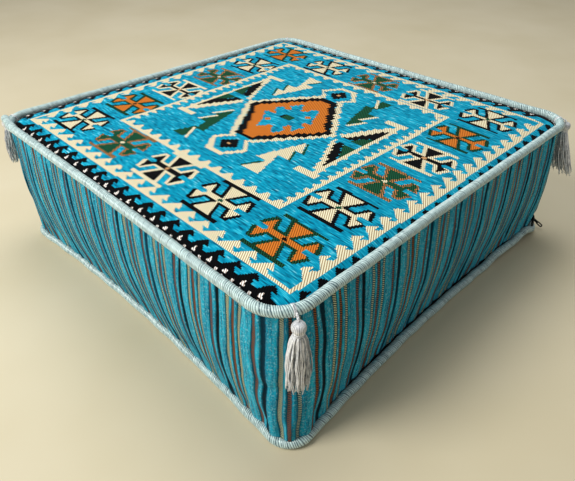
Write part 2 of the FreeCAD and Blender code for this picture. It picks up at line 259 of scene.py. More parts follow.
def stations(side_steps, corner_steps):
    """The side of each point of a seam ring, its place -1 to 1 along it (1 at a corner), and its length."""
    side, place, length = [], [], []
    begin = -SIDE_LENGTH / 2
    for k in range(4):
        t = np.arange(side_steps) / side_steps
        side += [k] * (side_steps + corner_steps)
        place += list(t * 2 - 1) + [1.0] * corner_steps
        length += list(begin + t * SIDE_LENGTH)
        begin += SIDE_LENGTH
        length += list(begin + np.arange(corner_steps) / corner_steps * ARC_LENGTH)
        begin += ARC_LENGTH
    return np.array(side), np.array(place), np.array(length)


def top_ring(**steps):
    return seam_ring(SEAM_HALF, TOP_CORNER, TOP_PULLS, **steps)


def low_ring(**steps):
    return seam_ring(SEAM_HALF, LOW_CORNER, LOW_PULLS, LOW_SHIFT, LOW_TURN, **steps)


def ramp(share):
    """A smooth step from 0 to 1."""
    share = np.clip(share, 0, 1)
    return share * share * (3 - 2 * share)


def per_side(values, corner_value, side, place):
    """A value for each station: the side's own in its middle, and the corner's at its ends."""
    middle = np.array(values)[side]
    return corner_value + (middle - corner_value) * (1 - np.abs(place) ** 5)


# ---- materials ----

def tone(r, g, b):
    """A linear colour from display values 0 to 255."""
    linear = [((c / 255 + 0.055) / 1.055) ** 2.4 if c > 10 else c / 255 / 12.92 for c in (r, g, b)]
    return (*linear, 1.0)


class Graph:
    """A material and short ways to add nodes to it."""

    def __init__(self, name, **finish):
        self.material = bpy.data.materials.new(name)
        self.material.use_nodes = True
        self.tree = self.material.node_tree
        self.tree.nodes.clear()
        self.output = self.add("ShaderNodeOutputMaterial")
        self.shader = self.add("ShaderNodeBsdfPrincipled")
        self.link(self.shader.outputs[0], self.output.inputs["Surface"])
        for key, value in finish.items():
            self.shader.inputs[key.replace("_", " ")].default_value = value
        self.where = self.add("ShaderNodeTexCoord").outputs["Object"]

    def add(self, kind, **settings):
        node = self.tree.nodes.new(kind)
        for key, value in settings.items():
            setattr(node, key, value)
        return node

    def link(self, source, target):
        self.tree.links.new(source, target)

    def put(self, value, socket):
        if isinstance(value, bpy.types.NodeSocket):
            self.link(value, socket)
        else:
            socket.default_value = value

    def math(self, operation, *values, clamp=False):
        node = self.add("ShaderNodeMath", operation=operation, use_clamp=clamp)
        for i, value in enumerate(values):
            self.put(value, node.inputs[i])
        return node.outputs[0]

    def plus(self, a, b, clamp=False):
        return self.math("ADD", a, b, clamp=clamp)

    def minus(self, a, b, clamp=False):
        return self.math("SUBTRACT", a, b, clamp=clamp)

    def times(self, a, b):
        return self.math("MULTIPLY", a, b)

    def mix(self, factor, a, b, blend="MIX"):
        node = self.add("ShaderNodeMix", data_type="RGBA", blend_type=blend)
        self.put(factor, node.inputs["Factor"])
        self.put(a, node.inputs["A"])
        self.put(b, node.inputs["B"])
        return node.outputs["Result"]

    def axis(self, index):
        node = self.add("ShaderNodeSeparateXYZ")
        self.link(self.where, node.inputs[0])
        return node.outputs[index]

    def cloth_place(self):
        """The cloth coordinates, and each of the two alone."""
        uv = self.add("ShaderNodeUVMap", uv_map="cloth").outputs[0]
        node = self.add("ShaderNodeSeparateXYZ")
        self.link(uv, node.inputs[0])
        return uv, node.outputs[0], node.outputs[1]

    def stretch(self, vector, scale):
        node = self.add("ShaderNodeVectorMath", operation="MULTIPLY")
        self.put(vector, node.inputs[0])
        node.inputs[1].default_value = scale
        return node.outputs[0]

    def noise(self, vector, scale=1.0, detail=2.0, rough=0.5):
        node = self.add("ShaderNodeTexNoise")
        self.put(vector, node.inputs["Vector"])
        node.inputs["Scale"].default_value = scale
        node.inputs["Detail"].default_value = detail
        node.inputs["Roughness"].default_value = rough
        return node.outputs["Fac"]

    def grain(self, vector, scale, detail=2.0, rough=0.5):
        """Noise with its own scale along each axis."""
        return self.noise(self.stretch(vector, scale), 1.0, detail, rough)

    def spread(self, value, low, high, to_low=0.0, to_high=1.0):
        """The value moved from the range low to high into the range to_low to to_high."""
        node = self.add("ShaderNodeMapRange")
        for i, number in enumerate((value, low, high, to_low, to_high)):
            self.put(number, node.inputs[i])
        return node.outputs[0]

    def ramp(self, factor, stops, constant=False):
        node = self.add("ShaderNodeValToRGB")
        node.color_ramp.interpolation = "CONSTANT" if constant else "LINEAR"
        marks = node.color_ramp.elements
        while len(marks) < len(stops):
            marks.new(0.5)
        for mark, (position, colour) in zip(marks, stops):
            mark.position = position
            mark.color = colour
        self.put(factor, node.inputs[0])
        return node.outputs[0]

    def colour(self, value):
        self.put(value, self.shader.inputs["Base Color"])

    def rough(self, value):
        self.put(value, self.shader.inputs["Roughness"])

    def bump(self, height, depth, strength=1.0):
        """Relief of a given depth in millimetres for heights from 0 to 1."""
        node = self.add("ShaderNodeBump")
        node.inputs["Strength"].default_value = strength
        node.inputs["Distance"].default_value = depth * MM
        self.put(height, node.inputs["Height"])
        self.link(node.outputs[0], self.shader.inputs["Normal"])


WEFT_PITCH = 1.5          # from one row of the ground's yarn to the next
WEFT_TONES = [            # the ground's yarn, from its dark streaks to its light ones
    (0.30, tone(0, 78, 106)), (0.42, tone(0, 132, 166)), (0.55, tone(6, 164, 198)),
    (0.66, tone(54, 196, 222)), (0.78, tone(166, 236, 246)),
]
RIB_PITCH = 2.4
RIB_WAY = (0.832, 0.555)  # across the slanting ribs of the figures


def kilim_material():
    """Flat woven cloth in the pattern's colours, with weft streaks on the ground and ribs in the figures, and
    painted shade between the weft rows and in the grooves between the ribs.
    """
    g = Graph("kilim_weave", Roughness=0.9, Sheen_Weight=0.02, Sheen_Roughness=0.5, Specular_IOR_Level=0.05)
    yarn = g.add("ShaderNodeVertexColor", layer_name="yarn")
    colour = yarn.outputs["Color"]
    ground = yarn.outputs["Alpha"]
    patches = g.grain(g.where, (14, 26, 14), 2.0)
    flecks = g.grain(g.where, (900, 900, 60), 1.0)
    bend = g.grain(g.where, (22, 22, 22), 1.0)
    level = g.plus(g.math("DIVIDE", g.axis(1), WEFT_PITCH * MM), g.times(bend, 2.0))
    weft = g.add("ShaderNodeCombineXYZ")
    g.link(g.times(g.axis(0), 66.0), weft.inputs[0])
    g.link(g.times(g.math("FLOOR", level), 7.31), weft.inputs[1])
    streaks = g.noise(weft.outputs[0], 1.0, 1.0, 0.6)
    between = g.math("ABSOLUTE", g.minus(g.math("FRACT", level), 0.5))
    ground_tone = g.ramp(streaks, WEFT_TONES)
    ground_tone = g.mix(g.spread(patches, 0.35, 0.65, 0.0, 0.35), ground_tone, tone(0, 128, 158))
    # painted shade between the weft rows: the ground darkens towards the edges of each row
    ground_tone = g.mix(g.spread(between, 0.25, 0.5, 0.0, 0.5), ground_tone, tone(0, 84, 112))
    slant = g.plus(g.times(g.axis(0), RIB_WAY[0]), g.times(g.axis(1), RIB_WAY[1]))
    rib = g.math("SINE", g.times(slant, TURN / (RIB_PITCH * MM)))
    # painted shade in the grooves between the slanting ribs of the figures, broken up by random flecks: the
    # figure's yarn is darkened there
    shaded_groove = g.spread(g.plus(rib, g.times(flecks, 0.9)), -0.7, 1.3, 1.0, 0.0)
    deep = g.mix(1.0, colour, tone(148, 112, 84), "MULTIPLY")
    g.colour(g.mix(ground, g.mix(shaded_groove, colour, deep), ground_tone))
    in_figure = g.minus(1.0, ground)
    g.bump(g.plus(g.times(g.times(rib, in_figure), 0.3), streaks), 0.4, 0.6)
    return g.material


STRIPE_PERIOD = 62.0
STRIPE_START = 209.5      # a black stripe's middle is five millimetres past each start
STRIPE_SHADE_WIDTH = 1.7         # width of the painted shade line beside a stripe
TWIST_PERIOD = 2.8        # along a twisted yarn
STRIPES = [               # where each stripe starts and ends in a period, and its kind
    (3.1, 6.9, "black"), (19.2, 22.8, "cream"), (27.8, 31.2, "rust"), (36.9, 40.0, "cream"),
    (55.4, 58.6, "rust"),
]
NONE = (0, 0, 0, 1)
FULL = (1, 1, 1, 1)
YARNS = {                 # first and second tone of each kind of yarn
    "black": (tone(2, 14, 18), tone(4, 24, 30)),
    "cream": (tone(202, 204, 164), tone(22, 54, 54)),
    "rust": (tone(146, 92, 54), tone(54, 42, 34)),
    "ground": (tone(34, 178, 208), tone(0, 96, 126)),
}


def stripe_stops(outside, inside, margin=0.0):
    """Colour stops across a period: outside, and inside at each stripe, by its kind where that differs."""
    stops = [(0.0, outside)]
    for begin, end, kind in STRIPES:
        inner = inside[kind] if isinstance(inside, dict) else inside
        if margin:
            stops += [((begin - margin) / STRIPE_PERIOD, outside), (begin / STRIPE_PERIOD, inner)]
            stops += [(end / STRIPE_PERIOD, inner), ((end + margin) / STRIPE_PERIOD, outside)]
        else:
            stops += [(begin / STRIPE_PERIOD, inner), (end / STRIPE_PERIOD, outside)]
    return stops


def stripe_material():
    """Chenille with lengthwise stripes of flat and twisted yarns, and a line of painted shade on each side of
    a stripe.
    """
    g = Graph("striped_chenille", Roughness=0.85, Sheen_Weight=0.03, Sheen_Roughness=0.4,
              Specular_IOR_Level=0.06)
    uv, u, v = g.cloth_place()
    along = g.times(u, 1 / MM)
    up = g.times(v, 1 / MM)
    along = g.plus(along, g.spread(g.grain(uv, (28, 12, 0), 2.0), 0.2, 0.8, -0.5, 0.5))
    along = g.plus(along, g.spread(g.grain(uv, (300, 240, 0), 1.0), 0.2, 0.8, -0.35, 0.35))
    start = STRIPE_START - 20 * STRIPE_PERIOD
    phase = g.math("FRACT", g.math("DIVIDE", g.minus(along, start), STRIPE_PERIOD))
    tones = []
    for k in range(2):
        stops = stripe_stops(YARNS["ground"][k], {kind: YARNS[kind][k] for kind in YARNS})
        tones.append(g.ramp(phase, stops, constant=True))
    in_stripe = g.ramp(phase, stripe_stops(NONE, FULL), constant=True)
    near_stripe = g.ramp(phase, stripe_stops(NONE, FULL, STRIPE_SHADE_WIDTH))
    twist = g.spread(g.math("SINE", g.plus(g.times(up, TURN / TWIST_PERIOD), g.times(along, 1.5))), -0.4, 0.4)
    rows = g.grain(uv, (330, 24, 0), 2.0, 0.6)
    specks = g.grain(uv, (440, 300, 0), 3.0, 0.8)
    tuft = g.spread(g.plus(g.times(rows, 0.45), g.times(specks, 0.6)), 0.46, 0.58)
    base = g.mix(g.mix(in_stripe, tuft, twist), tones[0], tones[1])
    light = g.spread(specks, 0.51, 0.60)
    in_ground = g.minus(1.0, near_stripe, clamp=True)
    base = g.mix(g.times(light, g.times(in_ground, 0.75)), base, tone(136, 226, 240))
    # painted shade: the ground darkens in a thin line on each side of a stripe, where the cloth dips along it
    edge = g.minus(near_stripe, in_stripe, clamp=True)
    base = g.mix(g.times(g.math("POWER", edge, 1.2), 0.9), base, tone(0, 30, 42))
    wide = g.grain(uv, (60, 3, 0), 2.0)
    g.colour(g.mix(g.spread(wide, 0.4, 0.65, 0.0, 0.35), base, tone(0, 96, 128)))
    relief = g.minus(g.times(specks, 0.9), g.times(near_stripe, 1.5))
    g.bump(g.plus(relief, g.times(twist, 0.2)), 0.8, 0.9)
    return g.material


def silk_material(name, light, dark, roughness=0.34):
    """Shiny yarn, wound or hanging, with painted shade in the dark tone between its threads. A thread's number
    is the whole part of its first UV coordinate.
    """
    g = Graph(name, Roughness=roughness, Sheen_Weight=0.15, Sheen_Roughness=0.3, Specular_IOR_Level=0.7)
    uv, number, _ = g.cloth_place()
    thread = g.math("FRACT", number)
    shaded_groove = g.math("ABSOLUTE", g.minus(thread, 0.5))
    each = g.grain(uv, (0.83, 0.25, 0), 2.0, 0.7)
    mottled = g.grain(g.where, (260, 260, 260), 3.0, 0.65)
    # painted shade: the yarn is darker towards the edges of each thread, in the grooves of the winding; the
    # rest of the darkening is random tone
    amount = g.plus(g.spread(shaded_groove, 0.15, 0.5, 0.0, 0.8), g.spread(each, 0.35, 0.65, -0.12, 0.28))
    amount = g.plus(amount, g.spread(mottled, 0.35, 0.65, -0.12, 0.2), clamp=True)
    g.colour(g.mix(amount, light, dark))
    fibres = g.grain(g.where, (900, 900, 900), 2.0)
    g.bump(g.minus(g.times(fibres, 0.5), shaded_groove), 0.5, 0.8)
    return g.material


def plain_weave(name, light, dark, pitch, roughness=0.85, sheen=0.2):
    """Plain woven cloth, whose threads cross at the given pitch in millimetres."""
    g = Graph(name, Roughness=roughness, Sheen_Weight=sheen, Sheen_Roughness=0.5, Specular_IOR_Level=0.25)
    waves = [g.math("SINE", g.times(g.axis(k), TURN / (pitch * MM))) for k in range(3)]
    weave = g.plus(g.times(waves[0], waves[1]), g.times(waves[2], 0.5))
    slub = g.grain(g.where, (60, 400, 200), 3.0)
    amount = g.plus(g.spread(weave, -1.2, 1.2, 0.0, 0.6), g.spread(slub, 0.3, 0.7, -0.1, 0.5), clamp=True)
    g.colour(g.mix(amount, light, dark))
    g.bump(g.plus(weave, slub), 0.25, 0.6)
    return g.material


def wool_material(name, light, dark, size, roughness=0.95):
    """Loose fibre or open foam: soft lumps and fine hairs of the given size in millimetres."""
    g = Graph(name, Roughness=roughness, Sheen_Weight=0.3, Sheen_Roughness=0.6, Specular_IOR_Level=0.15)
    lumps = g.noise(g.where, 1.0 / (size * MM), 4.0, 0.65)
    cells = g.add("ShaderNodeTexVoronoi")
    g.link(g.where, cells.inputs["Vector"])
    cells.inputs["Scale"].default_value = 3.0 / (size * MM)
    g.colour(g.mix(g.spread(lumps, 0.3, 0.7), light, dark))
    g.bump(g.plus(lumps, g.times(cells.outputs["Distance"], 0.4)), 0.5, 0.7)
    return g.material


def metal_material(name, colour, metallic, roughness):
    """Lacquered or bare metal with small scratches and uneven gloss."""
    g = Graph(name, Metallic=metallic)
    worn = g.grain(g.where, (300, 1400, 700), 4.0, 0.6)
    patches = g.noise(g.where, 260.0, 2.0)
    brighter = tuple(min(1.0, c * 1.8 + 0.02) for c in colour[:3]) + (1.0,)
    g.colour(g.mix(g.spread(worn, 0.55, 0.8, 0.0, 0.6), colour, brighter))
    g.rough(g.spread(patches, 0.3, 0.7, roughness - 0.08, roughness + 0.12))
    g.bump(worn, 0.04, 0.4)
    return g.material


KILIM = kilim_material()
CHENILLE = stripe_material()
# the second tone of these yarns is the painted shade in the grooves between their threads
PIPING_YARN = silk_material("piping_yarn", tone(214, 240, 236), tone(30, 74, 86), 0.3)
TASSEL_YARN = silk_material("tassel_yarn", tone(254, 255, 255), tone(84, 98, 110), 0.3)
WHITE_THREAD = plain_weave("white_thread", tone(235, 238, 235), tone(170, 178, 178), 0.7)
BASE_CLOTH = plain_weave("base_cloth", tone(30, 31, 34), tone(12, 12, 14), 1.1)
CASE_CLOTH = plain_weave("case_cloth", tone(236, 234, 226), tone(196, 194, 186), 0.9)
FIBRE = wool_material("polyester_fibre", tone(244, 244, 240), tone(206, 208, 206), 9.0)
FOAM = wool_material("open_foam", tone(238, 226, 186), tone(206, 188, 138), 3.0)
ZIP_TAPE = plain_weave("zip_tape_weave", tone(16, 16, 19), tone(5, 5, 7), 0.8, sheen=0.02)
ZIP_COIL = metal_material("zip_coil_nylon", tone(26, 26, 30), 0.0, 0.4)
ZIP_METAL = metal_material("zip_lacquer", tone(16, 16, 18), 0.6, 0.35)


# ---- the woven pattern, in millimetres on the top ----

CREAM, ORANGE, GREEN, BLACK, GROUND, PEACH, MOSS, WHITE, TAN = range(9)
YARN_TONES = {
    CREAM: tone(252, 249, 212), ORANGE: tone(226, 134, 48), GREEN: tone(22, 88, 60), BLACK: tone(5, 7, 11),
    GROUND: tone(4, 146, 182), PEACH: tone(226, 178, 124), MOSS: tone(12, 46, 30),
    WHITE: tone(255, 255, 252), TAN: tone(216, 142, 84),
}
CELL = 1.9                # one cell of the woven pattern
CELLS = 314               # across the whole top
MIDDLE = (5.0, 4.0)       # the centre figure is the same after half a turn about this point


class Pattern:
    """Paints yarns on points of the cloth."""

    def __init__(self, x, y):
        self.x = x
        self.y = y
        self.yarn = np.full(x.shape, GROUND)

    def inside(self, outline, x, y):
        outline = np.asarray(outline, float)
        low, high = outline.min(0), outline.max(0)
        near = np.nonzero((x >= low[0]) & (x <= high[0]) & (y >= low[1]) & (y <= high[1]))[0]
        px, py = x[near], y[near]
        odd = np.zeros(px.shape, bool)
        for (x1, y1), (x2, y2) in zip(outline, np.roll(outline, -1, 0)):
            if y1 != y2:
                odd ^= ((y1 > py) != (y2 > py)) & (px < (x2 - x1) * (py - y1) / (y2 - y1) + x1)
        return near[odd]

    def paint(self, yarn, outline, x=None, y=None, step=0.0):
        x = self.x if x is None else x
        y = self.y if y is None else y
        if step:
            x = np.floor(x / step) * step + step / 2
            y = np.floor(y / step) * step + step / 2
        self.yarn[self.inside(outline, x, y)] = yarn

    def dot(self, yarn, other, where):
        """Gives every second cell of one yarn, within a region, to another yarn."""
        odd = (np.floor(self.x / CELL) + np.floor(self.y / CELL)).astype(int) % 2 == 1
        self.yarn[where & odd & (self.yarn == yarn)] = other

    def paint_both(self, yarn, outline, step=0.0):
        """Paints an outline, and the same after half a turn about the middle."""
        self.paint(yarn, outline, step=step)
        turned = [(2 * MIDDLE[0] - x, 2 * MIDDLE[1] - y) for x, y in outline]
        self.paint(yarn, turned, step=step)


def bar(x1, y1, x2, y2):
    return [(x1, y1), (x2, y1), (x2, y2), (x1, y2)]


def slash(x1, y1, x2, y2, wide):
    """A slanting stroke, wide millimetres across."""
    return [(x1 - wide / 2, y1), (x1 + wide / 2, y1), (x2 + wide / 2, y2), (x2 - wide / 2, y2)]


BADGE_OUTLINE = [
    bar(0, 29, 32, 34), [(0, 2), (0, 29), (19.5, 29), (8.5, 8), (8.5, 2)], bar(0, 3, 22, 7),
    [(19, 7), (26, 22.5), (36, 22.5), (43.5, 5), (38, 4.2), (22, 3)],
]
BADGE_FILL = [
    [(0, 3), (0, 28.5), (13.5, 28.5), (1, 4)], bar(0, 0, 26, 3.2),
    [(22, 3), (30.5, 20.5), (38, 4.5), (29, 4.5), (26, 0), (22, 0)],
]
BADGE_DOT = [(-0.1, -0.1), (4.5, -0.1), (-0.1, 4)]
BADGE_YARNS = {CREAM: (BLACK, GREEN), GREEN: (TAN, CREAM), BLACK: (CREAM, PEACH), ORANGE: (GREEN, BLACK)}
DOTS = {TAN: GREEN, GREEN: MOSS}      # the yarn that a dotted outline shares its cells with
BADGE_PITCH = (105.6, 85.0)
BADGE_PLACE = (7.0, -213.5)           # the middle of the front row
BADGES = {                # the badges of each row, front to back, by column
    0: {0: CREAM, 1: GREEN, 2: BLACK, 3: CREAM, 4: ORANGE},
    1: {0: ORANGE, 4: CREAM},
    2: {0: BLACK, 4: GREEN},
    3: {0: GREEN, 4: BLACK},
    4: {0: CREAM, 4: ORANGE},
    5: {0: ORANGE, 1: CREAM, 2: GREEN, 3: BLACK, 4: CREAM},
}


def paint_badges(pattern):
    """The hooked figures of the wide border."""
    for row, badges in BADGES.items():
        for column, fill in badges.items():
            u = np.abs(pattern.x - (BADGE_PLACE[0] + BADGE_PITCH[0] * (column - 2)))
            v = np.abs(pattern.y - (BADGE_PLACE[1] + BADGE_PITCH[1] * row))
            edge, dot = BADGE_YARNS[fill]
            for outline in BADGE_OUTLINE:
                pattern.paint(edge, outline, u, v)
            if edge in DOTS:
                pattern.dot(edge, DOTS[edge], (u < 46) & (v < 36))
            grown = 1.3 if fill == GREEN else 0.0
            for outline in BADGE_FILL:
                pattern.paint(fill, outline, np.maximum(u - grown, 0), np.maximum(v - grown, 0))
            pattern.paint(dot, BADGE_DOT, u, v)


def lozenge(wide, tall, flat):
    x, y = MIDDLE
    return [(x + wide, y), (x + flat, y + tall), (x - flat, y + tall),
            (x - wide, y), (x - flat, y - tall), (x + flat, y - tall)]


STAR = [
    (-12, 54), (-6, 48), (1, 36), (5, 34), (9, 37), (13, 47), (17, 54), (24, 50), (33, 31), (46, 11), (45, 8),
    (34, 6), (32, 3), (35, -1), (45, -5), (40, -25), (33, -21), (27, -14), (20, -14), (33, -30), (31, -33),
    (24, -53), (18, -48), (10, -36), (5, -33), (0, -37), (-8, -50), (-13, -42), (-19, -28), (-27, -20),
    (-38, -3), (-30, 0), (-20, 1), (-18, 4), (-28, 8), (-34, 20), (-28, 26), (-14, 22), (-22, 34),
]
CREAM_TREE = [(82, -37), (98, -65), (85, -66), (100, -90), (80, -91), (97, -143), (66, -143), (79, -117),
              (78, -113), (61, -112)]
TREE_SHADOWS = [
    [(84, -38), (88, -40), (104, -67), (99, -66)], [(86, -66), (90, -67), (103, -92), (99, -91)],
    [(80, -115), (74, -119), (62, -142), (66, -142)],
]
GREEN_TREE = [(-72, -38), (-84, -65), (-77, -65), (-83, -92), (-70, -92), (-65, -112), (-70, -112),
              (-80, -145), (-58, -145), (-60, -114), (-48, -114), (-68, -42)]
SIDE_TRIANGLE = [         # the figures right of the lozenge, in the order that they're painted
    (GREEN, [(120, 8), (142, 8), (142, 38), (128, 25)]), (GREEN, [(120, -6), (142, -6), (142, -42)]),
    (BLACK, [(107, 14), (110, 18), (136, 71), (142, 71), (142, 35), (125, 22), (118, 8), (108, 8)]),
    (BLACK, [(108, -6), (121, -6), (142, -45), (142, -70), (137, -70)]),
    (CREAM, [(97, 2), (105, -2), (142, -74), (143, -84), (137, -84)]),
    (CREAM, [(98, 15), (106, 8), (141, 72), (143, 84), (133, 84)]),
    (CREAM, bar(142, -100, 147, 100)), (CREAM, bar(116, 91, 152, 101)), (CREAM, bar(139, 70, 147, 91)),
    (CREAM, bar(119, -101, 154, -91)), (CREAM, bar(141, -91, 149, -78)),
]


HEXAGON = [               # the small figure in front of the lozenge
    (CREAM, [(-12, -91), (-28, -114), (-5, -145), (24, -145), (44, -114), (22, -91)]),
    (GROUND, [(-4, -91), (-20, -113), (1, -138), (19, -138), (36, -113), (14, -91)]),
    (BLACK, [(-8.5, -114), (7.5, -96), (23.5, -114), (7.5, -132)]),
]


def paint_centre(pattern):
    """The lozenge with its star, the side triangles, the trees and the small hexagons."""
    for yarn, outline in SIDE_TRIANGLE:
        pattern.paint_both(yarn, outline, step=4.6 if len(outline) > 4 else 0.0)
    for k in range(8):
        y = -77.5 + 21.75 * k
        pattern.paint_both(CREAM, [(146, y - 5), (152, y), (146, y + 5)])
    pattern.paint_both(CREAM, CREAM_TREE, step=2.5)
    for outline in TREE_SHADOWS:
        pattern.paint_both(GREEN, outline)
    pattern.paint_both(GREEN, GREEN_TREE, step=2.5)
    for stroke in ((-74, -35, -88, -65), (-75, -65, -88, -92), (-66, -116, -50, -145)):
        pattern.paint_both(CREAM, slash(*stroke, 5.5))
    for yarn, outline in HEXAGON:
        pattern.paint_both(yarn, outline, step=3.8)
    pattern.paint_both(PEACH, bar(4.5, -116.5, 10.5, -111.5))
    x, y = MIDDLE
    for side in (1, -1):
        band = [(78, 0), (92, 0), (22, 97), (14, 92)]
        pattern.paint_both(CREAM, [(x + side * u, y + v) for u, v in band], step=5.0)
    pattern.paint(BLACK, lozenge(82, 92, 16), step=5.7)
    pattern.paint(ORANGE, lozenge(70, 83, 9), step=5.7)
    pattern.paint(GROUND, STAR, step=3.8)
    for x, y in ((-18, 27), (26, 23), (-15, -21), (28, -25)):
        pattern.paint(ORANGE, [(x - 6, y), (x, y + 6), (x + 6, y), (x, y - 6)])
    pattern.paint(GREEN, bar(-4, -5, 14, 8))
    pattern.paint(BLACK, bar(-7, -4, -2, 6))


def tooth(x, y, half, tip, rise):
    """A blunt tooth that stands on the line y, at x."""
    return [(x - half, y), (x - tip, y + rise), (x + tip, y + rise), (x + half, y)]


def paint_frame(pattern):
    """The toothed line round the middle field."""
    left, right, front, back = -165, 174, -178.5, 176
    for outline in (bar(left, front, right, front + 6), bar(left, back - 6, right, back),
                    bar(left, front, left + 6, back), bar(right - 6, front, right, back)):
        pattern.paint(CREAM, outline)
    for k in range(15):
        pattern.paint(CREAM, tooth(-147.8 + 22.2 * k, -173, 7.5, 2, 9.5))
    for k in range(14):
        pattern.paint(CREAM, tooth(-132.7 + 22.5 * k, 171, 7.5, 2, -9))
    for k in range(23):
        pattern.paint(CREAM, [(y, x) for x, y in tooth(-154.4 + 14.25 * k, 169, 5, 1.5, -7.5)])
        pattern.paint(CREAM, [(y, x) for x, y in tooth(-153.6 + 14.4 * k, -160, 5, 1.5, 10)])


LINE = (-266, 282, -268, 264)         # the cream line of the edge band: left, right, front and back
HOOK = [(-14, 0), (-14, 3), (-2, 16), (0, 17.5), (2.5, 17), (9.5, 9), (1, 8.5), (8, 3), (12, 3), (12, 0)]
WAVE = [(-14, 16.5), (-11, 15), (0, 2), (3, 2.5), (11, 9), (3, 9.5), (8, 15), (12.5, 16.5)]
STEPS = ((0.9, 14.5, 16.4), (1.9, 16.4, 18.3), (2.9, 18.3, 20.2), (0.9, 22.5, 24))
BLOB = [(-2.4, 22.4), (-1.2, 24.0), (2.4, 24.0), (2.4, 22.4), (1.2, 21.0), (-1.8, 21.0)]


def repeats(start, pitch, low, high):
    """Where a figure that repeats along a side lies between two limits."""
    first = start - math.ceil((start + 262) / pitch) * pitch
    return [first + pitch * k for k in range(24) if low < first + pitch * k < high]


def paint_edge(pattern):
    """The running hooks along the outside, and the dark waves and small white figures behind them."""
    x, y = pattern.x, pattern.y
    left, right, front, back = LINE
    edges = (           # the place along a side, how far out past the line, and the hooks' start and pitch
        (x, front - y, -220.5, 25.5), (y, x - right, -10.0, 24.8),
        (-x, y - back, 240.1, 26.0), (-y, left - x, 239.2, 25.3),
    )
    for along, out, _, _ in edges:
        pattern.yarn[(out > 14.5) & (np.abs(along) < 292)] = BLACK
    for along, out, start, pitch in edges:
        places = repeats(start, pitch, -266, 272)
        for a in places:
            pattern.paint(BLACK, [(a + u, v) for u, v in WAVE], along, out)
        for a in places:
            for half, low, high in STEPS:
                pattern.paint(WHITE, bar(a - 1 - half, low, a - 1 + half, high), along, out)
            pattern.paint(WHITE, [(a + 12.5 + u, v) for u, v in BLOB], along, out)
    inside_line = (x > left) & (x < right) & (y > front) & (y < back)
    inner = (x > left + 4.5) & (x < right - 4.5) & (y > front + 4.5) & (y < back - 4.5)
    for along, out, start, pitch in edges:
        for a in repeats(start, pitch, -252, 262):
            pattern.paint(CREAM, [(a + u, v + 2) for u, v in HOOK], along, -out)
    pattern.yarn[inside_line & ~inner] = CREAM


DIAGONAL = 9.0            # how softly the cloth's rounding turns at its diagonals
PANEL_RISE = (            # height of the top cloth at some distances inside the seam
    (-4, 189.5), (0, 190.5), (4, 192.2), (8, 195), (14, 198), (25, 200.3), (60, 201.5), (150, 202.4),
    (300, 203),
)


def panel_height(inset):
    """Height of the top cloth at a distance inside the seam."""
    return np.interp(inset, *np.transpose(PANEL_RISE))


def seam_distance(x, y):
    """Distance inside the upper seam, smooth across the diagonals."""
    reach = SEAM_HALF - TOP_CORNER - 1.0
    qx, qy = np.abs(x) - reach, np.abs(y) - reach
    out = np.hypot(np.maximum(qx, 0), np.maximum(qy, 0))
    qx, qy = np.minimum(qx, 0), np.minimum(qy, 0)
    soft = DIAGONAL * np.log(np.exp(qx / DIAGONAL) + np.exp(qy / DIAGONAL))
    soft = soft - DIAGONAL * math.log(2.0) * np.exp(-np.hypot(qx, qy) / DIAGONAL)
    inner = np.where(out > 0, 0.0, np.minimum(soft, 0))
    return TOP_CORNER - out - inner


def drawn(x, y):
    """How far the woven pattern was drawn sideways when the cloth was sewn in."""
    x, y = x / 200, y / 200
    shift_x = 2.8 + 0.7 * x - 0.8 * x * x + 1.4 * x * y - 1.7 * y * y
    shift_y = -3.0 - 1.0 * x - 1.0 * y - 0.6 * x * x - 1.5 * x * y + 0.5 * y * y
    return shift_x, shift_y


def build_top():
    """The kilim: a grid of cells, each of one yarn, that follows the rounded top."""
    line = (np.arange(CELLS + 1) - CELLS / 2) * CELL
    gx, gy = np.meshgrid(line, line, indexing="xy")
    mid = (line[:-1] + line[1:]) / 2
    cx, cy = np.meshgrid(mid, mid, indexing="xy")
    keep = seam_distance(cx, cy) > 2.0
    quads = np.array(grid_faces(CELLS + 1, CELLS + 1)).reshape(CELLS, CELLS, 4)[keep]
    used, renumbered = np.unique(quads, return_inverse=True)
    quads = renumbered.reshape(-1, 4)
    x, y = gx.ravel()[used], gy.ravel()[used]
    ring = seam_ring(SEAM_HALF - 2.0, TOP_CORNER - 2.0, TOP_PULLS, side_steps=400, corner_steps=40)
    edge = np.nonzero(seam_distance(x, y) < 2.0 + CELL)[0]
    cells_round = np.bincount(quads.ravel(), minlength=len(used))
    for k in edge[cells_round[edge] < 4]:
        x[k], y[k] = ring[np.argmin((ring[:, 0] - x[k]) ** 2 + (ring[:, 1] - y[k]) ** 2)]
    inset = seam_distance(x, y)
    z = panel_height(inset) + 0.45 * ripple(x, y, 150.0, 0.4) * np.clip(inset / 60, 0, 1)
    z += 0.35 * ripple(x, y, 31.0, 1.9) * np.exp(-((inset - 16) / 12) ** 2)
    shift_x, shift_y = drawn(cx[keep], cy[keep])
    pattern = Pattern(cx[keep] + 0.013 * cy[keep] - shift_x, cy[keep] - shift_y)
    paint_badges(pattern)
    paint_frame(pattern)
    paint_centre(pattern)
    paint_edge(pattern)
    points = np.stack([x, y, z], 1)
    piece = make_piece("kilim_top", points, quads.tolist(), "cushion", KILIM, ["top_panel"])
    colours = np.array([YARN_TONES[k] for k in range(len(YARN_TONES))])
    colours[:, 3] = 0.0
    colours[GROUND, 3] = 1.0        # marks the ground for the material
    attribute = piece.data.attributes.new("yarn", "FLOAT_COLOR", "FACE")
    attribute.data.foreach_set("color", colours[pattern.yarn].astype(np.float32).ravel())
    return piece


# ---- piping ----

def wound_radius(thread):
    """The cord's radius where the winding's thread number is given."""
    return PIPING_RADIUS - 0.5 + THREAD_RELIEF * np.abs(np.sin(math.pi * thread)) ** 0.7


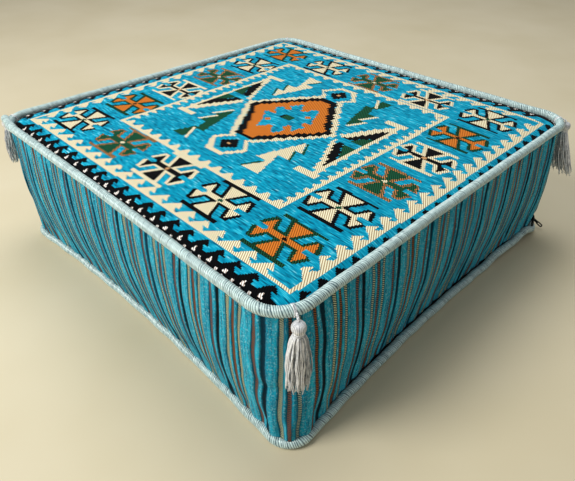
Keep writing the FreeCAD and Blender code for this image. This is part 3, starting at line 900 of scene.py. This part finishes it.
def build_piping(name, ring, level, wander, node):
    """A cord wound with shiny yarn, round a whole seam."""
    around = PIPING_AROUND
    count = int(round(even(ring, 10)[1] / 0.46))
    line, length = even(ring, count)
    s = np.arange(count) / count * length
    threads = round(length / THREAD_PITCH)
    loose = 0.25 * np.sin(TURN * s / 37.0) + 0.18 * np.sin(TURN * s / 11.3 + 1.0)
    share = np.arange(around + 1) / around
    thread = (np.arange(count + 1) / count * threads + np.append(loose, loose[0]))[:, None]
    thread = thread - WINDING * share[None]
    radius = wound_radius(thread[:-1, :-1]) + 0.16 * ripple(s, 0 * s, 46.0, 2.2)[:, None]
    centre_out, centre_up = wander(s, line)
    out = outward(line)
    centre = line + out * (centre_out + 0.35 * ripple(s, s * 0.37, 210.0, 0.7))[:, None]
    angle = share[:-1] * TURN
    flat = centre[:, None] + out[:, None] * (radius * np.cos(angle))[..., None]
    z = (level + centre_up)[:, None] + radius * np.sin(angle)
    points = np.concatenate([flat, z[..., None]], -1)
    faces = reversed_faces(grid_faces(count, around, closed_columns=True, closed_rows=True))
    piece = make_piece(name, points, faces, "cushion", PIPING_YARN, [node])
    v = np.broadcast_to((np.arange(count + 1) / count * length * 0.1)[:, None], thread.shape)
    set_cloth_uv(piece, at_corners(thread), at_corners(v))


def still(s, line):
    """How far the upper cord wanders out and up, at lengths s along its line."""
    return 0.3 * ripple(s, 0 * s, 77.0, 1.1), 0.35 * ripple(s, 0 * s, 93.0, 3.1)


def seam_lift(place):
    """How far the lower seam lifts off the floor at some points."""
    lift = 0.0
    for x, y, reach, height in SEAM_LIFTS:
        lift = lift + height * np.exp(-(np.hypot(place[..., 0] - x, place[..., 1] - y) / reach) ** 2)
    return lift


def lifted(s, line):
    """The same for the lower cord."""
    return 0.9 * ripple(s, 0 * s, 61.0, 0.3), seam_lift(line) + 0.25 * np.abs(ripple(s, 0 * s, 80.0, 1.4))


def build_cord_end():
    """The front cord's end, which crosses over the other cord at the front left corner and stands out."""
    steps, around, length = 90, PIPING_AROUND, 42.0
    t = np.linspace(0, 1, steps)
    path = np.stack([-254 - length * t, -299.0 + 4.0 * t ** 2, TOP_LEVEL + 3.6 * t], 1)
    thread = (t * length / THREAD_PITCH)[:, None] - WINDING * (np.arange(around) / around)[None]
    taper = np.clip((1 - t) / 0.06, 0, 1) ** 0.5
    radius = wound_radius(thread) * (0.55 + 0.45 * taper)[:, None]
    points, faces = sweep([path], 1.0, around, (0.0, 0.7, -0.7))
    points = path[:, None] + (points.reshape(steps, around, 3) - path[:, None]) * radius[..., None]
    piece = make_piece("piping_end", points, faces, "cushion", PIPING_YARN)
    index = corner_values(piece)[0]
    set_cloth_uv(piece, thread.ravel()[index], t[index // around] * length * 0.1)


# ---- the sides ----

def wall_points(rows, side_steps, corner_steps, bulge_share=1.0):
    """The side cloth as rows of points from the upper seam down, in millimetres. Returns the points, the
    length along the cloth at each of them, and which columns lie over the zip."""
    side, place, length = stations(side_steps, corner_steps)
    upper = top_ring(side_steps=side_steps, corner_steps=corner_steps)
    lower = low_ring(side_steps=side_steps, corner_steps=corner_steps)
    inward = per_side(FOOT_INSETS, 0.0, side, place)
    lower = lower - outward(lower) * inward[:, None]
    bulge = per_side(SIDE_BULGES, CORNER_BULGE, side, place) * bulge_share
    x, y = upper.T
    opening = ramp((x - ZIP_RANGE[0]) / 9) * ramp((ZIP_RANGE[1] - x) / 8) * (y > 250)
    foot = WALL_FOOT + seam_lift(lower)
    foot = foot + (ZIP_EDGE - foot) * opening
    t = np.linspace(0, 1, rows)[:, None]
    z = WALL_TOP + (foot - WALL_TOP) * t
    out = unit(outward(upper) + outward(lower))
    flat = upper * (1 - t[..., None]) + lower * t[..., None]
    stand = bulge * np.sin(math.pi * t ** 0.8)
    s = np.broadcast_to(length, stand.shape)
    stand = stand + folds(s, z, t)
    near_edge = opening * (1 - np.clip((z - foot) / 30, 0, 1)) ** 2
    wanted = (ZIP_FACE - flat[..., 1]) / np.maximum(out[:, 1], 0.6)
    stand = stand + near_edge * (wanted - stand)
    recess_x, recess_y, reach, depth = RECESS
    far = np.hypot(x - recess_x, y - recess_y)
    stand = stand - depth * np.exp(-(far / reach) ** 2) * np.exp(-((z - 20) / 16) ** 2) * (1 - opening)
    flat = flat + out * stand[..., None]
    near = 1 / (1 + np.exp(-(s - 150) / 30)) / (1 + np.exp((s - 345) / 25))
    s = s + CORNER_SHEAR * near * t ** 1.3 + 1.4 * ripple(s, z, 70.0, 1.6)
    return np.concatenate([flat, z[..., None]], -1), s, opening > 0.05


def folds(s, z, t):
    """Small standing folds near the seams, slow waves, and the crease across the front."""
    slow = 1.5 * ripple(s, z * 1.2, 120.0, 0.9) * np.sin(math.pi * t) ** 0.7
    corner = np.exp(-((s - 290) / 45) ** 2)
    low_pleats = (1.2 + 1.6 * corner) * np.sin(TURN * s / 24.0 + 1.5 * ripple(s, z, 90.0, 2.0))
    low_pleats = low_pleats * np.exp(-(((1 - t) * 178 - 14) / 20) ** 2)
    high_pleats = 0.7 * np.sin(TURN * s / 17.0 + 1.8 * ripple(s, z, 70.0, 0.5))
    high_pleats = high_pleats * np.exp(-((t * 178 - 9) / 13) ** 2)
    level = 92 + 5 * np.sin(TURN * (s - 190) / 160)
    window = 1 / (1 + np.exp(-(s - 185) / 12)) / (1 + np.exp((s - 315) / 10))
    crease = -2.6 * np.exp(-((z - level) / 8.0) ** 2) * window
    return slow + low_pleats + high_pleats + crease


def build_wall(name, first_side, node, points, s, z_rows):
    """Half of the striped side cloth, two sides and the corners that follow them."""
    columns = points.shape[1]
    start = first_side * columns // 4
    picked = [(start + k) % columns for k in range(columns // 2 + 1)]
    faces = reversed_faces(grid_faces(len(points), len(picked)))
    piece = make_piece(name, points[:, picked], faces, "cushion", CHENILLE, [node])
    u = s[:, picked].copy()
    u[:, -1] = u[:, -2] + 3.0
    v = np.broadcast_to(z_rows, points.shape[:2])[:, picked]
    set_cloth_uv(piece, at_corners(u) * MM, at_corners(v) * MM)
    thicken(piece, CLOTH_THICK, -1.0)
    return piece


def settle(points, in_zip):
    """Lets air pressure fill the side cloth between its sewn edges. Returns how far each point moves."""
    rows, columns = points.shape[:2]
    lids = [[0, 0, points[0, 0, 2]], [0, 0, points[-1, 0, 2]]]
    total = rows * columns
    faces = reversed_faces(grid_faces(rows, columns, closed_columns=True))
    faces += lid(total, 0, columns) + lid(total + 1, total - columns, columns, flipped=True)
    mesh = bpy.data.meshes.new("settling")
    start = np.concatenate([points.reshape(-1, 3), lids]) * MM
    mesh.from_pydata(start.tolist(), [], faces)
    cloth = bpy.data.objects.new("settling", mesh)
    bpy.context.scene.collection.objects.link(cloth)
    held = np.zeros((rows, columns), bool)
    held[:2] = True
    held[-2:] = True
    held[:, in_zip] |= points[:, in_zip, 2] < ZIP_EDGE + 12
    group = cloth.vertex_groups.new(name="sewn")
    group.add([int(k) for k in np.nonzero(held.ravel())[0]] + [total, total + 1], 1.0, "REPLACE")
    simulation = cloth.modifiers.new("cloth", "CLOTH")
    settings = simulation.settings
    settings.vertex_group_mass = "sewn"
    settings.quality = 6
    settings.mass = 0.4
    settings.tension_stiffness = 12
    settings.compression_stiffness = 8
    settings.shear_stiffness = 4
    settings.bending_stiffness = 0.6
    settings.use_pressure = True
    settings.uniform_pressure_force = 4.0
    settings.effector_weights.gravity = 0.0
    simulation.collision_settings.use_collision = False
    simulation.point_cache.frame_start = 1
    simulation.point_cache.frame_end = SETTLE_FRAMES
    scene = bpy.context.scene
    for number in range(1, SETTLE_FRAMES + 1):
        scene.frame_set(number)
    depsgraph = bpy.context.evaluated_depsgraph_get()
    result = cloth.evaluated_get(depsgraph).to_mesh()
    place = np.zeros(len(result.vertices) * 3)
    result.vertices.foreach_get("co", place)
    moved = (place.reshape(-1, 3)[:total] / MM).reshape(points.shape) - points
    cloth.evaluated_get(depsgraph).to_mesh_clear()
    bpy.data.objects.remove(cloth)
    scene.frame_set(1)
    length = np.linalg.norm(moved, axis=-1, keepdims=True)
    return moved * np.minimum(1.0, SETTLE_CAP / np.maximum(length, 1e-6))


def finer(grid):
    """Twice as many points along and across a grid of rows that close on themselves."""
    across = np.stack([grid, (grid + np.roll(grid, -1, 1)) / 2], 2).reshape(grid.shape[0], -1, grid.shape[2])
    made = np.zeros((grid.shape[0] * 2 - 1, across.shape[1], grid.shape[2]))
    made[::2] = across
    made[1::2] = (across[:-1] + across[1:]) / 2
    return made


def puffed(points, s):
    """Draws the cloth in along its stripes, so that it puffs out between them."""
    rows = len(points)
    phase = (s - STRIPE_START) % STRIPE_PERIOD
    depth = np.zeros(s.shape)
    for begin, end, _ in STRIPES:
        away = np.abs(phase - (begin + end) / 2)
        away = np.minimum(away, STRIPE_PERIOD - away)
        depth += np.exp(-(away / 2.3) ** 2)
    fade = np.sin(math.pi * np.linspace(0, 1, rows)) ** 0.35
    for row in range(rows):
        points[row, :, :2] -= outward(points[row, :, :2]) * (PUFF_DEPTH * depth[row] * fade[row])[:, None]
    return points


def build_walls():
    points, s, _ = wall_points(*WALL_GRID)
    coarse, _, in_zip = wall_points(31, 88, 10, START_SHARE)
    moved = finer(finer(settle(coarse, in_zip)))[::2]
    points = wall_points(*WALL_GRID, START_SHARE)[0] + moved
    points = puffed(points, s)
    v = np.linspace(WALL_TOP, WALL_FOOT, len(points))[:, None]
    for name, first_side, node in (("side_front_right", 0, "boxing_front_right"),
                                   ("side_back_left", 2, "boxing_back_left")):
        build_wall(name, first_side, node, points, s, v)


# ---- the underside and the filling ----

def build_bottom():
    """The plain cloth below, lying flat on the floor and drawn up into the lower seam."""
    ring = even(low_ring(side_steps=88, corner_steps=10), 400)[0]
    centre = ring.mean(0)
    shares = np.concatenate([[0.992, 0.985, 0.975, 0.96, 0.94, 0.91], np.linspace(0.87, 0.03, 26)])
    rows = []
    for share in shares:
        flat = centre + (ring - centre) * share
        waves = 0.45 * np.maximum(ripple(flat[:, 0], flat[:, 1], 85.0, 0.2), -0.6)
        rise = (5.4 + seam_lift(flat)) * np.exp(-(1 - share) * 300 / 4.0) + 0.5 + waves
        rows.append(np.concatenate([flat, np.maximum(rise, 0.25)[:, None]], 1))
    count = len(ring)
    points = np.concatenate(rows + [[[*centre, 0.6]]])
    faces = reversed_faces(grid_faces(len(shares), count, closed_columns=True))
    faces += lid(len(points) - 1, (len(shares) - 1) * count, count, flipped=True)
    piece = make_piece("base_panel", points, faces, "cushion", BASE_CLOTH, ["bottom_panel"])
    thicken(piece, CLOTH_THICK, -1.0)


def build_block(name, node, material, inset, low, sink, rounding, lumps, lump_size):
    """A closed block of filling that keeps an even distance inside the cover."""
    points = wall_points(41, 60, 8, START_SHARE)[0]
    columns = points.shape[1]
    heights = points[:, 0, 2]
    directions = outward(points[20, :, :2])

    def ring_at(z, depth):
        flat = [[np.interp(z, heights[::-1], points[::-1, k, i]) for i in (0, 1)] for k in range(columns)]
        return np.array(flat) - directions * depth

    def row(flat, z):
        return np.concatenate([flat, np.broadcast_to(z, (columns,))[:, None]], 1)

    top_edge = 186.0 - sink
    low_bend, high_bend = low + rounding, top_edge - rounding
    quarter = np.linspace(0, math.pi / 2, 7)
    bend = [(rounding * (1 - math.cos(a)), inset + rounding * (1 - math.sin(a))) for a in quarter]
    floor_ring = ring_at(low_bend, inset + rounding)
    rows = [row(floor_ring * share, low) for share in np.linspace(0.04, 0.92, 18)]
    rows += [row(ring_at(low_bend, depth), low + rise) for rise, depth in bend]
    rows += [row(ring_at(z, inset), z) for z in np.linspace(low_bend, high_bend, 16)[1:-1]]
    rows += [row(ring_at(high_bend, depth), top_edge - rise) for rise, depth in bend[::-1]]
    edge = rows[-1][:, :2]
    for share in np.linspace(0.97, 0.04, 20):
        flat = edge * share
        cover = panel_height(seam_distance(flat[:, 0], flat[:, 1])) - sink - 3.0
        blend = min(1.0, (1 - share) / 0.12)
        rows.append(row(flat, top_edge * (1 - blend) + cover * blend))
    rows = np.array(rows)
    x, y, z = np.moveaxis(rows, -1, 0)
    bump = lumps * ripple(x + 1.3 * z, y - 0.9 * z, lump_size, 1.3) - lumps
    rows = rows + unit(rows - np.array([0, 0, 100.0])) * bump[..., None]
    total = len(rows) * columns
    points = np.concatenate([rows.reshape(-1, 3), [rows[0].mean(0), rows[-1].mean(0)]])
    faces = grid_faces(len(rows), columns, closed_columns=True)
    faces += lid(total, 0, columns, flipped=True) + lid(total + 1, total - columns, columns)
    return make_piece(name, points, faces, "cushion", material, [node])


def build_filling():
    case = build_block("filled_case", "inner_case", CASE_CLOTH, 3.4, 3.6, 3.0, 14.0, 0.5, 90.0)
    wrap = build_block("fibre_layer", "fibre_wrap", FIBRE, 5.6, 5.6, 5.5, 16.0, 0.9, 38.0)
    foam = build_block("foam_block", "foam_core", FOAM, 15.5, 14.5, 17.0, 7.0, 0.25, 24.0)


# ---- tassels ----

def strand_piece(name, points, faces, body, points_each, stands_for=()):
    """A piece of tassel yarn whose strands have so many points each."""
    piece = make_piece(name, points, faces, body, TASSEL_YARN, stands_for)
    set_cloth_uv(piece, *strand_uv(piece, points_each))


def turned(centre, right, forward, radius, angle):
    """Points at a radius and an angle round a centre, in the plane of two directions."""
    return centre + right * (radius * np.cos(angle))[..., None] + forward * (radius * np.sin(angle))[..., None]


def build_tie(body, cord, across, out, seed):
    """A few turns of thread that hold the loop to the piping."""
    a = np.linspace(0, TURN, 25)
    rings = []
    for k in range(3):
        shift = across * (1.0 * (k - 1) + 0.2 * math.sin(3.0 * k + seed))
        rings.append(turned(cord + shift, out, UP, 6.15, a))
    points, faces = sweep(rings, 0.5, 6, across)
    strand_piece(f"{body}_tie", points, faces, "cushion", 150)


def build_loop(body, cord, head, across, out):
    """Two twisted plies from the piping to the head."""
    start = cord + out * 6.6 + UP * 2.6
    end = head + out * -0.8 + UP * 6.6
    t = np.linspace(0, 1, 40)
    share = t[:, None]
    line = start * (1 - share) + end * share + out * (1.4 * np.sin(math.pi * share))
    plies = [turned(line, across, out, 0.7, TURN * 3.0 * t + math.pi * k) for k in range(2)]
    points, faces = sweep(plies, 0.7, 8, across)
    strand_piece(f"{body}_cord", points, faces, f"{body}_loop", 40 * 8, [f"{body}_loop"])


def build_head(body, head, across, out):
    """Yarn wound over a ball that is a little flattened below."""
    columns, rows, threads = 72, 40, 24
    a = np.arange(columns) / columns * TURN
    bend = np.linspace(0.08, 0.86, rows) * math.pi
    ridge = 0.4 * np.abs(np.sin(a[None] * threads / 2 + 1.6 * bend[:, None]))
    radius = (6.7 + ridge) * np.sin(bend)[:, None] ** 0.85
    z = 6.9 * np.cos(bend)[:, None] + 0 * radius
    points = turned(head, across, out, radius, a) + UP * z[..., None]
    faces = reversed_faces(grid_faces(rows, columns, closed_columns=True))
    faces.append(list(range(columns)))
    faces.append([rows * columns - 1 - k for k in range(columns)])
    ball = make_piece(f"{body}_ball", points, faces, body, TASSEL_YARN, [f"{body}_head"])
    set_cloth_uv(ball, *head_uv(ball, threads, head, out, across))


def build_binding(body, head, across, out):
    """A thread wound five times round the neck, over the core of the skirt."""
    a = np.linspace(0, TURN * 5, 150)
    ring = turned(head, across, out, 5.0, a) + UP * (-5.4 - 3.2 * a[:, None] / a[-1])
    core = head + UP * np.linspace(-4.8, -9.8, 6)[:, None]
    points, faces = joined([sweep([ring], 0.55, 7, UP), sweep([core], 4.8, 24, across)])
    strand_piece(f"{body}_wrap", points, faces, body, 7 * 30, [f"{body}_binding"])


def build_skirt(body, head, across, out, reach, lean, fan, seed):
    """Wavy strands in clumps, full at the shoulders, with ragged ends."""
    rng = np.random.default_rng(seed)
    count, steps = 136, 18
    t = np.linspace(0, 1, steps)
    strands = []
    radii = []
    clumps = rng.uniform(0, TURN, 9)
    shoulders = [0, 0.05, 0.14, 0.35, 0.75, 1.0]
    width = np.interp(t, shoulders, [4.6, 6.6, 9.2, 11.6, 12.8, 12.0])
    depth = np.interp(t, shoulders, [4.6, 5.4, 6.4, 7.4, 8.4, 7.8])
    for k in range(count):
        share = math.sqrt((k + 0.5) / count)
        round_angle = k * GOLDEN_ANGLE + rng.normal(0, 0.1)
        clump = clumps[k % 9]
        gather = 0.16 * np.sin(clump - round_angle) * t ** 1.5
        wave = 0.75 * np.sin(TURN * (t * rng.uniform(1.2, 2.6) + rng.uniform(0, 1))) * np.minimum(1, 3 * t)
        swing = 0.6 * np.sin(TURN * (t * rng.uniform(0.8, 2.0) + rng.uniform(0, 1))) * np.minimum(1, 3 * t)
        x = width * share * np.cos(round_angle + gather) * (1 + fan * t) + wave
        y = depth * share * np.sin(round_angle + gather) * (1 + 0.8 * fan * t) + swing
        fall = reach + rng.normal(0, 2.6) + 2.5 * math.sin(clump * 3.0)
        z = -7.4 - t * fall + abs(lean) * 0.25 * t ** 2
        strands.append(head + across * x[:, None] + out * (y + lean * t ** 1.4)[:, None] + UP * z[:, None])
        radii.append(np.full(steps, rng.uniform(0.55, 0.85)) * (1 - 0.3 * t ** 6))
    points, faces = sweep(strands, np.array(radii), 5, across)
    strand_piece(f"{body}_strands", points, faces, body, steps * 5, [f"{body}_skirt"])


def build_tassel(corner, degrees, reach, lean, fan, seed):
    """A tassel of shiny strands under a wound head, hanging from a twisted loop and leaning out."""
    angle = math.radians(degrees)
    out = np.array([math.cos(angle), math.sin(angle), 0.0])
    across = np.array([-math.sin(angle), math.cos(angle), 0.0])
    body = f"tassel_{corner}"
    low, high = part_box(f"{body}_head")
    head = np.array((low + high) / 2) / MM
    head[2] = HEAD_LEVEL
    cord = head - out * 13.0 + UP * 9.0
    build_tie(body, cord, across, out, seed)
    build_loop(body, cord, head, across, out)
    build_head(body, head, across, out)
    build_binding(body, head, across, out)
    build_skirt(body, head, across, out, reach, lean, fan, seed)


def strand_uv(piece, points_each):
    """Cloth coordinates for separate strands: a number that differs between strands, and the height."""
    index, place = corner_values(piece)
    return np.floor(index / points_each) * 1.37 + 0.5 + 0.23 * ((index % 5) - 2) / 2, place[:, 2] * 0.1


def head_uv(piece, threads, centre, out, across):
    """Cloth coordinates for yarn wound from top to bottom."""
    place = corner_values(piece)[1] - centre
    return np.arctan2(place @ out, place @ across) / TURN * threads, place[:, 2] * 0.1


# ---- the zip ----

def build_coil(name, node, upper):
    """One row of a coil zip: a nylon wire wound along the tape's edge."""
    low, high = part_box(node)
    x0, x1 = low.x / MM, high.x / MM
    middle = np.array(((low + high) / 2)) / MM
    pitch, steps = 1.6, 12
    turns = int((x1 - x0) / pitch)
    a = np.linspace(0, turns * TURN, turns * steps)
    x = np.linspace(x0 + 0.4, x1 - 0.4, len(a))
    deep = 0.72 * np.cos(a)
    tall = 0.78 * np.sin(a) * (1 if upper else -1)
    line = np.stack([x, middle[1] + deep, middle[2] + tall], 1)
    points, faces = sweep([line], 0.3, 5, (1.0, 0.0, 0.0))
    make_piece(name, points, faces, "cushion", ZIP_COIL, [node])


def build_tape_tab():
    """The end of the zip's tape, folded round the back right corner below the side cloth."""
    ring = low_ring(side_steps=88, corner_steps=40)
    out = outward(ring)
    first = 2 * 88 + 40
    picked = np.arange(first + 6, first + 38)
    rows = []
    for share in np.linspace(0, 1, 8):
        tall = 15.0 - 5.0 * np.linspace(1, 0, len(picked)) ** 2
        level = 13.0 + seam_lift(ring[picked]) * 0.6 + tall * share
        flat = ring[picked] - out[picked] * (0.5 + 1.5 * share)
        rows.append(np.concatenate([flat, level[:, None]], 1))
    faces = grid_faces(len(rows), len(picked))
    piece = make_piece("zip_tape_tab", np.array(rows), faces, "cushion", ZIP_TAPE)
    thicken(piece, 1.6, 1.0)


def build_tape_tail():
    """The other end of the zip's tape, tucked under the side cloth round the back left corner."""
    points, _, in_zip = wall_points(*WALL_GRID)
    foot = points[-1]
    picked = in_zip & (foot[:, 0] < -271)
    flat = foot[picked, :2] - outward(foot[:, :2])[picked] * 1.7
    rows = []
    for share in np.linspace(0, 1, 6):
        level = 12.4 + (foot[picked, 2] + 2.0 - 12.4) * share
        rows.append(np.concatenate([flat, level[:, None]], 1))
    faces = grid_faces(len(rows), len(flat))
    piece = make_piece("zip_tape_tail", np.array(rows), faces, "cushion", ZIP_TAPE)
    thicken(piece, 0.5, 0.0)


def build_zip():
    build_coil("coil_row_upper", "zip_coil_upper", True)
    build_coil("coil_row_lower", "zip_coil_lower", False)
    finishes = {"zip_tape_upper": ZIP_TAPE, "zip_tape_lower": ZIP_TAPE, "zip_top_stops": ZIP_METAL,
                "zip_bottom_stop": ZIP_METAL, "zip_slider": ZIP_METAL, "zip_pull": ZIP_METAL}
    for node, material in finishes.items():
        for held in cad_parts[node].material_slots:
            held.material = material


# ---- sewing ----

def build_stitches():
    """Short white stitches where the kilim meets the piping, and a loose thread at the front lower seam."""
    seam = seam_ring(SEAM_HALF - 7.2, TOP_CORNER - 7.2, TOP_PULLS, side_steps=300, corner_steps=40)
    count = 2600
    ring = even(seam, count)[0]
    paths = []
    for k in range(0, count, 7):
        picked = ring[[(k + i) % count for i in range(5)]]
        z = panel_height(seam_distance(picked[:, 0], picked[:, 1])) + 0.25
        paths.append(np.concatenate([picked, z[:, None]], 1))
    parts = [sweep(paths, 0.36, 5, (0.0, 0.0, 1.0))]
    ring = low_ring(side_steps=300, corner_steps=60)
    row = (ring - outward(ring) * 1.6)[20:310]
    t = np.arange(len(row))
    height = LOW_LEVEL + PIPING_RADIUS + 0.1 + 0.35 * ripple(t * 2.0, 0 * t, 70.0, 0.3)
    line = np.concatenate([row, height[:, None]], 1)
    parts.append(sweep([line], 0.5, 6, (0.0, 0.0, 1.0)))
    points, faces = joined(parts)
    make_piece("seam_stitches", points, faces, "cushion", WHITE_THREAD)


# ---- the stage ----

def build_stage():
    """A plain pale floor, soft studio light and the camera."""
    mesh = bpy.data.meshes.new("floor")
    reach = 14.0
    corners = [(-reach, -reach, 0), (reach, -reach, 0), (reach, reach, 0), (-reach, reach, 0)]
    mesh.from_pydata(corners, [], [[0, 1, 2, 3]])
    floor = bpy.data.objects.new("floor", mesh)
    bpy.context.scene.collection.objects.link(floor)
    g = Graph("pale_floor", Roughness=0.9, Specular_IOR_Level=0.2)
    soft = g.noise(g.where, 3.0, 3.0)
    g.colour(g.mix(g.spread(soft, 0.3, 0.7), tone(214, 204, 176), tone(205, 194, 163)))
    mesh.materials.append(g.material)

    def area_light(name, place, target, size, power, colour=(1, 1, 1)):
        data = bpy.data.lights.new(name, "AREA")
        data.shape = "DISK"
        data.size = size
        data.energy = power
        data.color = colour
        light = bpy.data.objects.new(name, data)
        light.location = place
        light.rotation_mode = "QUATERNION"
        light.rotation_quaternion = (Vector(target) - Vector(place)).to_track_quat("-Z", "Y")
        bpy.context.scene.collection.objects.link(light)

    area_light("key", (-0.62, -2.0, 1.75), (0, 0, 0.1), 1.2, 58.0, (1.0, 0.98, 0.95))
    area_light("ceiling", (-0.5, 0.6, 2.3), (0, 0, 0), 1.6, 26.0, (1.0, 1.0, 1.0))
    world = bpy.data.worlds.new("studio")
    world.use_nodes = True
    world.node_tree.nodes["Background"].inputs[0].default_value = (0.95, 0.97, 1.0, 1.0)
    world.node_tree.nodes["Background"].inputs[1].default_value = 0.3
    bpy.context.scene.world = world
    bpy.context.scene.view_settings.view_transform = "Standard"

    data = bpy.data.cameras.new("camera")
    data.lens = 33.39
    data.sensor_width = 36.0
    data.shift_x = -0.0059
    data.shift_y = -0.0003
    camera = bpy.data.objects.new("camera", data)
    camera.location = CAMERA_PLACE
    camera.rotation_mode = "QUATERNION"
    camera.rotation_quaternion = (CAMERA_TARGET - CAMERA_PLACE).to_track_quat("-Z", "Y")
    bpy.context.scene.collection.objects.link(camera)
    bpy.context.scene.camera = camera


build_stage()
build_top()
build_piping("piping_upper", top_ring(side_steps=300, corner_steps=60), TOP_LEVEL, still, "piping_top")
build_piping("piping_lower", low_ring(side_steps=300, corner_steps=60), LOW_LEVEL, lifted, "piping_bottom")
build_walls()
build_bottom()
build_filling()
for number, (corner, (degrees, reach, lean, fan)) in enumerate(TASSELS.items()):
    build_tassel(corner, degrees, reach, lean, fan, TASSEL_SEED + number)
build_zip()
build_tape_tab()
build_tape_tail()
build_cord_end()
build_stitches()
